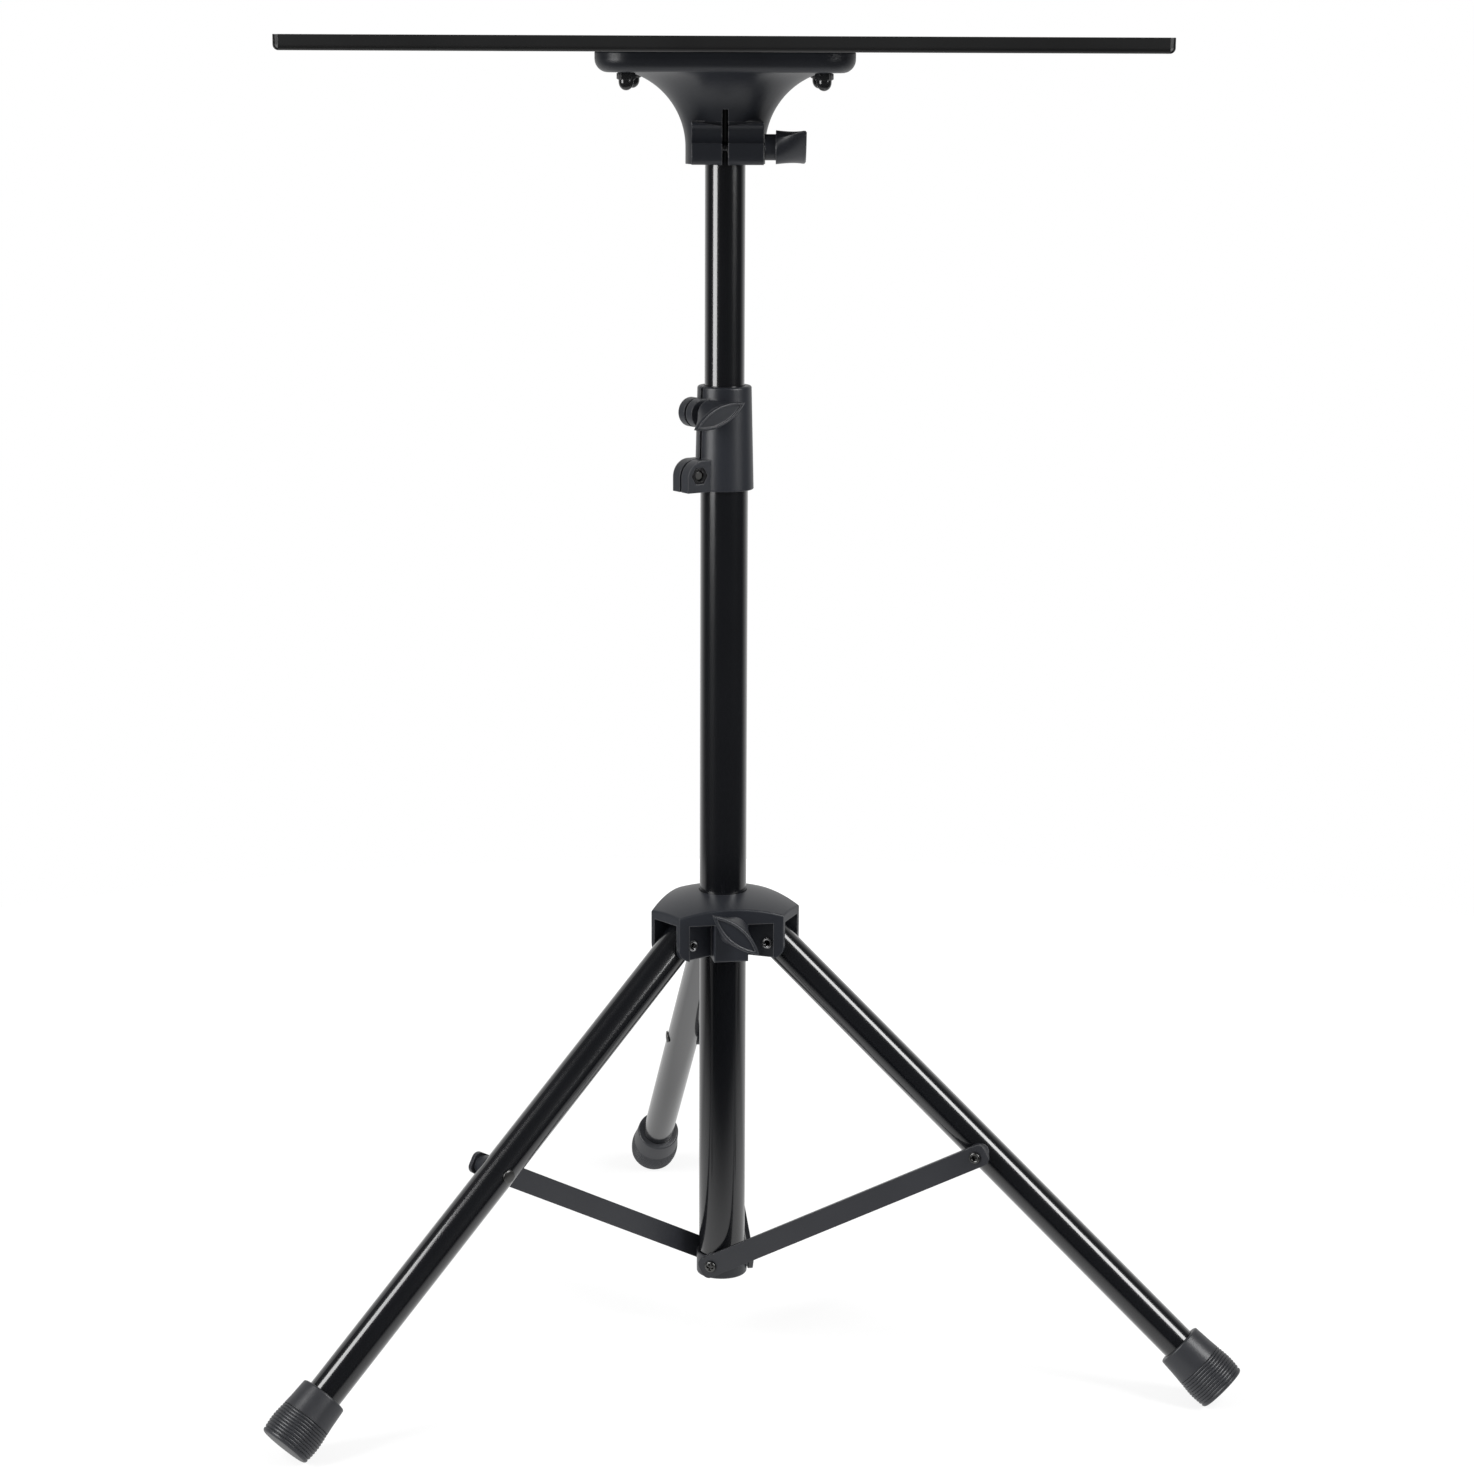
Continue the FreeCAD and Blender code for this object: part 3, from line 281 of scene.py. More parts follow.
@dataclass
class Effects:
    """The shared shader groups, built once."""

    edge_wear_and_highlight: bpy.types.ShaderNodeTree = field(default_factory=build_edge_wear_and_highlight)
    surface_grain: bpy.types.ShaderNodeTree = field(default_factory=build_surface_grain)
    settled_dust: bpy.types.ShaderNodeTree = field(default_factory=build_settled_dust)


# Finishes


@dataclass(frozen=True)
class Finish:
    """One finish of the stand.

    Attributes:
        look: Its name.
        slot: The part's slot that it belongs to; not used.
        colour: Main colour.
        worn_and_highlight: Colour on the edges, partly scuffs and partly a painted highlight.
        roughness: Middle roughness.
        spread: How far the roughness wanders over the surface.
        grain: Fineness of the texture.
        bump: Height of the texture in metres.
        edge: Radius of the softened edges in metres.
        wear_and_highlight: How much the edge colour shows, as scuffs and as a painted highlight.
        dust: How much dust lies on faces that look up.
        metallic: 1 for bare metal.
        coat: Weight of a clear coat.
        coat_roughness: Roughness of the clear coat.
        soft_edges: Whether edges are shaded round.
        break_up: How patchy the scuffs and the painted edge highlight are.
        mottle: How far the colour wanders, as a share.
        dust_colour: Colour of the dust.
        dust_dulling: Roughness that full dust adds.
    """

    look: Look
    slot: Slot
    colour: Colour
    worn_and_highlight: Colour
    roughness: float
    spread: float
    grain: Grain
    bump: float
    edge: float
    wear_and_highlight: float
    dust: float
    metallic: float = 0.0
    coat: float = 0.0
    coat_roughness: float = 0.08
    soft_edges: bool = True
    break_up: float = 0.6
    mottle: float = 0.22
    dust_colour: Colour = (0.34, 0.33, 0.31)
    dust_dulling: float = 0.5

    def build(self, effects: Effects) -> bpy.types.Material:
        """Make the material.

        Args:
            effects: The shared shader groups.

        Returns:
            The finished material.
        """
        material = bpy.data.materials.new(self.look.value)
        material.use_nodes = True
        tree = material.node_tree
        shader = tree.nodes["Principled BSDF"]
        shader.inputs["Metallic"].default_value = self.metallic
        shader.inputs["Coat Weight"].default_value = self.coat
        shader.inputs["Coat Roughness"].default_value = self.coat_roughness
        edges = self._place(tree, effects.edge_wear_and_highlight, {"Radius": self.edge, "Break Up": self.break_up})
        grain = self._place(tree, effects.surface_grain, {"Scale": self.grain.value})
        dust = self._place(tree, effects.settled_dust, {"Amount": self.dust})

        darker, lighter = self._tint(1.0 - self.mottle), self._tint(1.0 + self.mottle)
        shade = self._mix(tree, grain.outputs["Variation"], darker, lighter)
        # Edges get a lighter colour: partly scuffs, partly a painted highlight along them.
        scuffs_and_highlight = maths(tree, "MULTIPLY", edges.outputs["Mask"], self.wear_and_highlight)
        shade = self._mix(tree, scuffs_and_highlight, shade, self.worn_and_highlight)
        shade = self._mix(tree, dust.outputs["Mask"], shade, self.dust_colour)
        tree.links.new(shade, shader.inputs["Base Color"])

        noise_middle = 0.5
        wander = maths(tree, "SUBTRACT", grain.outputs["Variation"], noise_middle)
        rough = maths(tree, "ADD", maths(tree, "MULTIPLY", wander, 2 * self.spread), self.roughness)
        dull = maths(tree, "MULTIPLY", dust.outputs["Mask"], self.dust_dulling)
        tree.links.new(maths(tree, "ADD", rough, dull), shader.inputs["Roughness"])

        bump = tree.nodes.new("ShaderNodeBump")
        bump.inputs["Distance"].default_value = self.bump
        bump.inputs["Strength"].default_value = 1.0
        tree.links.new(grain.outputs["Height"], bump.inputs["Height"])
        if self.soft_edges:
            tree.links.new(edges.outputs["Rounded"], bump.inputs["Normal"])
        tree.links.new(bump.outputs[0], shader.inputs["Normal"])
        return material

    def _tint(self, factor: float) -> Colour:
        """The main colour, lighter or darker."""
        return tuple(factor * channel for channel in self.colour)

    @staticmethod
    def _place(tree: bpy.types.NodeTree, group: bpy.types.ShaderNodeTree,
               values: dict[str, float]) -> bpy.types.ShaderNodeGroup:
        """Place a shared group with its own values.

        Args:
            tree: Tree of the material.
            group: The shared group.
            values: Values of the group's inputs.

        Returns:
            The placed group node.
        """
        node = tree.nodes.new("ShaderNodeGroup")
        node.node_tree = group
        for label, number in values.items():
            node.inputs[label].default_value = number
        return node

    @staticmethod
    def _mix(tree: bpy.types.NodeTree, factor: object, first: object, second: object) -> object:
        """Mix two colours.

        Args:
            tree: Tree of the material.
            factor: Socket that drives the mix.
            first: A colour or a socket.
            second: A colour or a socket.

        Returns:
            The mixed colour's socket.
        """
        node = tree.nodes.new("ShaderNodeMix")
        node.data_type = "RGBA"
        colour_a, colour_b, colour_out = 6, 7, 2
        tree.links.new(factor, node.inputs["Factor"])
        for index, item in ((colour_a, first), (colour_b, second)):
            if isinstance(item, tuple):
                node.inputs[index].default_value = (*item, 1.0)
            else:
                tree.links.new(item, node.inputs[index])
        return node.outputs[colour_out]


FINISHES: tuple[Finish, ...] = (
    Finish(Look.TUBE_GLOSS, Slot.TUBE, colour=(0.0032, 0.0036, 0.0048), worn_and_highlight=(0.03, 0.03, 0.032),
           roughness=0.20, spread=0.04, grain=Grain.ORANGE_PEEL, bump=0.000003, edge=0.0005,
           wear_and_highlight=0.2, dust=0.006, coat=1.0, soft_edges=False),
    Finish(Look.TRAY_SATIN, Slot.TRAY, colour=(0.0050, 0.0051, 0.0053), worn_and_highlight=(0.04, 0.04, 0.04),
           roughness=0.42, spread=0.06, grain=Grain.POWDER, bump=0.00004, edge=0.0005,
           wear_and_highlight=0.35, dust=0.02),
    Finish(Look.BRACE_SATIN, Slot.BRACE, colour=(0.0185, 0.0196, 0.0238), worn_and_highlight=(0.08, 0.08, 0.085),
           roughness=0.36, spread=0.08, grain=Grain.POWDER, bump=0.00003, edge=0.0006,
           wear_and_highlight=0.5, dust=0.03),
    # The plastic's light edge colour and strong edge share paint a highlight along its edges, besides
    # scuffs.
    Finish(Look.MOULDED, Slot.PLASTIC, colour=(0.0145, 0.0163, 0.0210), worn_and_highlight=(0.12, 0.122, 0.129),
           roughness=0.35, spread=0.05, grain=Grain.SPARK_ETCH, bump=0.00003, edge=0.0011,
           wear_and_highlight=0.8, dust=0.03),
    Finish(Look.RUBBER_SKIN, Slot.RUBBER, colour=(0.0215, 0.0226, 0.0266), worn_and_highlight=(0.07, 0.07, 0.074),
           roughness=0.36, spread=0.05, grain=Grain.SKIN, bump=0.00003, edge=0.0003,
           wear_and_highlight=0.5, dust=0.04),
    Finish(Look.DARK_ZINC, Slot.HARDWARE, colour=(0.12, 0.12, 0.118), worn_and_highlight=(0.4, 0.4, 0.4),
           roughness=0.30, spread=0.08, grain=Grain.ZINC, bump=0.00002, edge=0.0002,
           wear_and_highlight=0.5, dust=0.02, metallic=1.0),
    Finish(Look.BRIGHT_ZINC, Slot.HARDWARE, colour=(0.38, 0.38, 0.385), worn_and_highlight=(0.65, 0.65, 0.66),
           roughness=0.26, spread=0.08, grain=Grain.ZINC, bump=0.00002, edge=0.0002,
           wear_and_highlight=0.4, dust=0.02, metallic=1.0),
    Finish(Look.BLACK_GLOSS, Slot.HARDWARE, colour=(0.012, 0.012, 0.013), worn_and_highlight=(0.1, 0.1, 0.1),
           roughness=0.16, spread=0.04, grain=Grain.ZINC, bump=0.00001, edge=0.0002,
           wear_and_highlight=0.25, dust=0.02, coat=0.5),
)


# Turned and cut shapes


@dataclass
class Shell:
    """A closed surface in its own frame, with +Z along the piece."""

    points: list[Vector]
    faces: list[tuple[int, ...]]


def polar(reach: float, angle: float, height: float) -> Vector:
    """A point by its distance and angle about +Z and its height."""
    return Vector((reach * math.cos(angle), reach * math.sin(angle), height))


def round_section(radius: float, _angle: float) -> float:
    """The plain circle of a turned piece."""
    return radius


def hexagon_section(flats: float) -> Section:
    """A section that cuts a turned piece down to a hexagon.

    Args:
        flats: Width across the flats.

    Returns:
        A function from radius and angle to the radius that is left.
    """
    sixth = math.pi / 3

    def section(radius: float, angle: float) -> float:
        """The smaller of the circle and the hexagon."""
        return min(radius, flats / 2 / math.cos(angle % sixth - sixth / 2))
    return section


def hexagon_side(flats: float, tall: float, lower: float, upper: float) -> Profile:
    """Profile of a hexagon nut's side with chamfered corners.

    Args:
        flats: Width across the flats.
        tall: Height of the side.
        lower: Height of the lower chamfer.
        upper: Height of the upper chamfer.

    Returns:
        Radius and height of each ring.
    """
    corner = flats / 2 / math.cos(math.pi / 6)
    lower_face, upper_face = 0.49 * flats, 0.48 * flats
    return [(lower_face, 0.0), (corner, lower), (corner, tall - upper), (upper_face, tall)]


def turn(profile: Profile, section: Section = round_section, segments: int = 48,
         hollow: bool = False) -> Shell:
    """Turn a profile about +Z.

    Args:
        profile: Radius and height of each ring, up the outside first.
        section: Changes a ring's radius by angle.
        segments: Points in a ring.
        hollow: Join the last ring to the first instead of closing both ends.

    Returns:
        The closed surface.
    """
    angles = [math.tau * i / segments for i in range(segments)]
    points = [polar(section(radius, angle), angle, height)
              for radius, height in profile for angle in angles]
    rings = len(profile)
    faces = []
    for ring in range(rings if hollow else rings - 1):
        low, high = ring * segments, (ring + 1) % rings * segments
        for i in range(segments):
            j = (i + 1) % segments
            faces.append((low + i, low + j, high + j, high + i))
    if not hollow:
        faces.append(tuple(reversed(range(segments))))
        faces.append(tuple(range((rings - 1) * segments, rings * segments)))
    return Shell(points, faces)


def thread(radius: float, start: float, end: float, pitch: float = 0.0010,
           depth: float = 0.00055) -> Shell:
    """Cut a screw thread.

    Args:
        radius: Outer radius.
        start: Height of the lower end.
        end: Height of the upper end.
        pitch: Step of one turn.
        depth: Depth of the groove.

    Returns:
        The threaded rod.
    """
    rings_per_turn, lead_rings, segments = 6, 5, 30
    steps = max(2, round((end - start) / pitch * rings_per_turn))
    points = []
    for step in range(steps + 1):
        height = start + (end - start) * step / steps
        lead_in = min(1.0, (steps - step) / lead_rings, step / lead_rings)
        for i in range(segments):
            phase = (height / pitch - i / segments) % 1.0
            reach = radius - depth * (1.0 - abs(2 * phase - 1) * lead_in)
            points.append(polar(reach, math.tau * i / segments, height))
    shell = turn([(radius, 0.0)] * (steps + 1), segments=segments)
    return Shell(points, shell.faces)


def screw_head(radius: float, height: float, crown: float, recess: Recess, depth: float) -> Shell:
    """Make a screw's head with a driver recess.

    Args:
        radius: Radius of the head.
        height: Height of the head.
        crown: Height of its domed part.
        recess: Kind of recess.
        depth: Depth of the recess.

    Returns:
        The head, standing on height 0.
    """
    segments, rings = 96, 24
    arm, half, socket, wall = 0.62 * radius, 0.17 * radius, 0.5 * radius, 0.16 * radius
    crown_power = 2.6

    def hollow(x: float, y: float) -> float:
        """Depth of the recess at a point, with sloping walls."""
        a, b = abs(x), abs(y)
        if recess is Recess.CROSS:
            outside = min(max(a - arm, b - half), max(b - arm, a - half))
        else:
            outside = max(a, a / 2 + b * math.sin(math.pi / 3)) - socket
        return depth * min(1.0, max(0.0, 0.5 - outside / wall))

    rim = height - crown
    angles = [math.tau * i / segments for i in range(segments)]
    points = [polar(radius, angle, 0.0) for angle in angles]
    for ring in range(rings + 1):
        share = 1.0 - ring / (rings + 1)
        top = rim + crown * math.sqrt(max(0.0, 1.0 - share ** crown_power))
        for angle in angles:
            point = polar(radius * share, angle, top)
            point.z -= hollow(point.x, point.y)
            points.append(point)
    shell = turn([(radius, 0.0)] * (rings + 2), segments=segments)
    return Shell(points, shell.faces)


def dome(radius: float, low: float, high: float, steps: int = 10, tip: float = 0.06) -> Profile:
    """Profile of a dome.

    Args:
        radius: Radius at its foot.
        low: Height of its foot.
        high: Height of its top.
        steps: Rings of the dome.
        tip: Radius of the small flat top, as a share.

    Returns:
        Radius and height of each ring.
    """
    end = math.acos(tip)
    turns = [end * step / steps for step in range(steps + 1)]
    return [(radius * math.cos(a), low + (high - low) * math.sin(a)) for a in turns]


def hole_mouth(radius: float) -> Profile:
    """The rounded mouth of a hole, from the inside out, as radius and depth."""
    flare, flare_depth = 0.0003, 0.0008
    return [(radius, flare_depth), (radius + flare, flare)]


def upside_down(profile: Profile, top: float) -> Profile:
    """A profile turned over, so that its heights run down from the top."""
    return [(radius, top - height) for radius, height in reversed(profile)]


def radius_at(profile: Profile, height: float) -> float:
    """Read a turned profile.

    Args:
        profile: Radius and height of its points, from low to high.
        height: Where to read it.

    Returns:
        The radius on the straight line between the two nearest points.
    """
    for (near, low), (far, high) in zip(profile, profile[1:]):
        if height <= high:
            return near + (far - near) * (height - low) / (high - low)
    return profile[-1][0]


# Sub-assemblies


def joint_axis(name: str) -> Vector:
    """The direction of a joint of the part."""
    return Vector(next(joint["axis"] for joint in frame["joints"] if joint["name"] == name))


def span(node: str, axis: Vector) -> tuple[Vector, Vector]:
    """Find a node's centre line.

    Args:
        node: The part's node.
        axis: Direction to measure along.

    Returns:
        Where the line leaves the node behind and ahead.
    """
    turned = axis.to_track_quat("Z", "Y")
    back = turned.inverted()
    points = [back @ vertex.co for vertex in frame["nodes"][node].data.vertices]
    low = [min(point[i] for point in points) for i in range(3)]
    high = [max(point[i] for point in points) for i in range(3)]
    middle = [(low[i] + high[i]) / 2 for i in range(2)]
    return turned @ Vector((*middle, low[2])), turned @ Vector((*middle, high[2]))


def corners_of(node: str, radius: float) -> list[tuple[float, float]]:
    """Find the centres of four round pieces of one node.

    Args:
        node: The part's node.
        radius: Radius of each piece.

    Returns:
        The four places in plan.
    """
    low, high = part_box(node)
    return [(x, y) for x in (low.x + radius, high.x - radius) for y in (low.y + radius, high.y - radius)]


@dataclass
class SubAssembly:
    """A group of pieces that belong together.

    Attributes:
        name: Plain name of the group.
        looks: The part's nodes with the finish that each takes.
    """

    CREASE = math.radians(38.0)
    name: str
    looks: dict[str, Look]

    def build(self, materials: Materials) -> None:
        """Make the group's own meshes, where it has any.

        Args:
            materials: The finished materials.
        """

    def dress(self, materials: Materials) -> None:
        """Give each of the part's nodes its finish.

        Args:
            materials: The finished materials.
        """
        for node, look in self.looks.items():
            item = frame["nodes"][node]
            for index in range(len(item.material_slots)):
                item.material_slots[index].material = materials[look]
            LOG.info("%s: %s in %s", self.name, node, look.value)

    def fit(self, name: str, shells: Sequence[Shell], seats: Sequence[tuple[Vector, Vector]], body: str,
            node: str, look: Look, materials: Materials) -> None:
        """Put a detailed piece where a plain node stands.

        Args:
            name: Name of the piece.
            shells: Its closed surfaces.
            seats: Foot and direction of each copy.
            body: Body that carries it.
            node: The plain node that it stands for.
            look: Its finish.
            materials: The finished materials.
        """
        mesh = bpy.data.meshes.new(name)
        points, faces = [], []
        for foot, axis in seats:
            stand = Matrix.Translation(foot) @ axis.to_track_quat("Z", "Y").to_matrix().to_4x4()
            for shell in shells:
                first = len(points)
                points.extend(stand @ point for point in shell.points)
                faces.extend(tuple(first + i for i in face) for face in shell.faces)
        mesh.from_pydata(points, [], faces)
        made = bmesh.new()
        made.from_mesh(mesh)
        bmesh.ops.recalc_face_normals(made, faces=made.faces)
        made.to_mesh(mesh)
        made.free()
        mesh.shade_smooth()
        mesh.set_sharp_from_angle(angle=self.CREASE)
        mesh.materials.append(materials[look])
        piece = bpy.data.objects.new(name, mesh)
        bpy.context.scene.collection.objects.link(piece)
        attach(piece, body)
        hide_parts(node)
        LOG.info("%s: %s with %d faces", self.name, name, len(faces))


@dataclass
class Pole(SubAssembly):
    """Both tubes, the cap, and the collar with its clamp bolt and nut.

    Attributes:
        nut_flats: Width of the nut across its flats.
        nut_chamfers: Heights of its lower and upper chamfer.
        nut_hole: Radius of its hole.
        nut_mouth: Radius of the countersink at the hole's outer end.
        nut_mouth_depth: Depth of the countersink.
        bolt_radius: Radius of the bolt's thread.
        bolt_head_radius: Radius of its head.
        bolt_head_height: Height of its head.
        bolt_crown: Height of the head's domed part.
        socket_depth: Depth of the socket in the head.
        rod_overlap: How far the rod runs into the head.
    """

    name: str = "pole"
    looks: dict[str, Look] = field(default_factory=lambda: {
        "lower_tube": Look.TUBE_GLOSS, "upper_tube": Look.TUBE_GLOSS, "base_cap": Look.MOULDED,
        "height_collar": Look.MOULDED})
    nut_flats: float = 0.0100
    nut_chamfers: tuple[float, float] = (0.0006, 0.0007)
    nut_hole: float = 0.0031
    nut_mouth: float = 0.0036
    nut_mouth_depth: float = 0.0006
    bolt_radius: float = 0.0030
    bolt_head_radius: float = 0.00475
    bolt_head_height: float = 0.0045
    bolt_crown: float = 0.0016
    socket_depth: float = 0.0024
    rod_overlap: float = 0.0005

    def build(self, materials: Materials) -> None:
        """Make the clamp nut and bolt.

        Args:
            materials: The finished materials.
        """
        axis = joint_axis("collar_knob_turn")
        foot, end = span("collar_clamp_nut", axis)
        tall = (end - foot).length
        hole = [(self.nut_mouth, tall), (self.nut_hole, tall - self.nut_mouth_depth), (self.nut_hole, 0.0)]
        nut = turn([*hexagon_side(self.nut_flats, tall, *self.nut_chamfers), *hole],
                   hexagon_section(self.nut_flats), segments=HEXAGON_SEGMENTS, hollow=True)
        self.fit("clamp_nut", [nut], [(foot, axis)], "pole", "collar_clamp_nut",
                 Look.BLACK_GLOSS, materials)
        foot, end = span("collar_clamp_bolt", axis)
        tall = (end - foot).length
        seat = self.bolt_head_height
        head = screw_head(self.bolt_head_radius, seat, self.bolt_crown, Recess.SOCKET, self.socket_depth)
        head = Shell([Vector((p.x, -p.y, seat - p.z)) for p in head.points], head.faces)
        rod = thread(self.bolt_radius, seat - self.rod_overlap, tall)
        self.fit("clamp_bolt", [head, rod], [(foot, axis)], "pole", "collar_clamp_bolt",
                 Look.DARK_ZINC, materials)


@dataclass
class Head(SubAssembly):
    """The tray on its moulded head, with screws and rounded nuts.

    Attributes:
        screw_radius: Radius of the flush screws' heads.
        screw_crown: Height of their domed part.
        recess_share: Depth of their recess, as a share of the tray's sheet.
        shank_radius: Radius of their shanks.
        shank_overlap: How far a shank runs into its head.
        nut_radius: Radius of the part's plain nuts.
        nut_flats: Width of a rounded nut across its flats.
        nut_base: Height of its hexagon.
        nut_chamfers: Heights of the hexagon's lower and upper chamfer.
        dome_radius: Radius of the nut's dome.
        dome_rise: Height of the straight side under the dome.
    """

    name: str = "head"
    looks: dict[str, Look] = field(default_factory=lambda: {
        "tray": Look.TRAY_SATIN, "tray_edges": Look.TRAY_SATIN, "tray_head": Look.MOULDED})
    screw_radius: float = 0.00575
    screw_crown: float = 0.0002
    recess_share: float = 0.9
    shank_radius: float = 0.0030
    shank_overlap: float = 0.0002
    nut_radius: float = 0.0054
    nut_flats: float = 0.0098
    nut_base: float = 0.0042
    nut_chamfers: tuple[float, float] = (0.0005, 0.0006)
    dome_radius: float = 0.0045
    dome_rise: float = 0.0012

    def build(self, materials: Materials) -> None:
        """Make the flush screws and the rounded nuts.

        Args:
            materials: The finished materials.
        """
        low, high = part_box("tray_screws")
        floor_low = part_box("tray")[0].z
        sheet = high.z - floor_low
        depth = sheet * self.recess_share
        top = screw_head(self.screw_radius, sheet, self.screw_crown, Recess.CROSS, depth)
        shank = turn([(self.shank_radius, low.z - floor_low), (self.shank_radius, self.shank_overlap)])
        seats = [(Vector((x, y, floor_low)), UP) for x, y in corners_of("tray_screws", self.screw_radius)]
        self.fit("flush_screws", [top, shank], seats, "head", "tray_screws", Look.DARK_ZINC, materials)

        low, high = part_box("tray_cap_nuts")
        crown = dome(self.dome_radius, self.nut_base + self.dome_rise, high.z - low.z)
        nut = turn([*hexagon_side(self.nut_flats, self.nut_base, *self.nut_chamfers),
                    (self.dome_radius, self.nut_base), *crown],
                   hexagon_section(self.nut_flats), segments=HEXAGON_SEGMENTS)
        seats = [(Vector((x, y, high.z)), -UP) for x, y in corners_of("tray_cap_nuts", self.nut_radius)]
        self.fit("rounded_nuts", [nut], seats, "head", "tray_cap_nuts", Look.BLACK_GLOSS, materials)


@dataclass
class Knobs(SubAssembly):
    """The three wing knobs on their threaded studs.

    Attributes:
        stud_radius: Radius of a stud's thread.
    """

    name: str = "knobs"
    looks: dict[str, Look] = field(default_factory=lambda: {
        "head_knob": Look.MOULDED, "collar_knob": Look.MOULDED, "hub_knob": Look.MOULDED})
    stud_radius: float = 0.00295

    def build(self, materials: Materials) -> None:
        """Make the threaded studs.

        Args:
            materials: The finished materials.
        """
        for knob in self.looks:
            axis = joint_axis(f"{knob}_turn")
            foot, end = span(f"{knob}_stud", axis)
            stud = thread(self.stud_radius, 0.0, (end - foot).length)
            self.fit(f"{knob}_thread", [stud], [(foot, axis)], knob, f"{knob}_stud",
                     Look.BRIGHT_ZINC, materials)


@dataclass
class Hub(SubAssembly):
    """The sliding hub with the hollow pins that carry the legs.

    Attributes:
        pin_radius: Radius of a pin.
        pin_hole: Radius of its hole.
        lip_radius: Radius of the rolled lips at its ends.
        lip_height: Height of a lip.
        lip_shape: Points of a lip's side, as shares of its radius and height.
    """

    name: str = "hub"
    looks: dict[str, Look] = field(default_factory=lambda: {"hub": Look.MOULDED})
    pin_radius: float = 0.0030
    pin_hole: float = 0.0017
    lip_radius: float = 0.0037
    lip_height: float = 0.0009
    lip_shape: Profile = ((0.94, 0.25), (1.0, 0.6), (0.97, 1.0))

    def build(self, materials: Materials) -> None:
        """Make the hollow pins with rolled ends.

        Args:
            materials: The finished materials.
        """
        lip = [(self.lip_radius * wide, self.lip_height * high) for wide, high in self.lip_shape]
        crest = (self.lip_radius + self.pin_hole) / 2
        outside = [(crest, 0.0), *lip, (self.pin_radius, self.lip_height)]
        inside = hole_mouth(self.pin_hole)
        for side in Leg.SIDES:
            axis = joint_axis(f"{side}_leg_fold")
            foot, end = span(f"{side}_leg_pin", axis)
            tall = (end - foot).length
            pin = turn([*outside, *upside_down(outside, tall), *upside_down(inside, tall), *inside],
                       hollow=True)
            self.fit(f"{side}_hollow_pin", [pin], [(foot, axis)], "hub", f"{side}_leg_pin",
                     Look.BRIGHT_ZINC, materials)


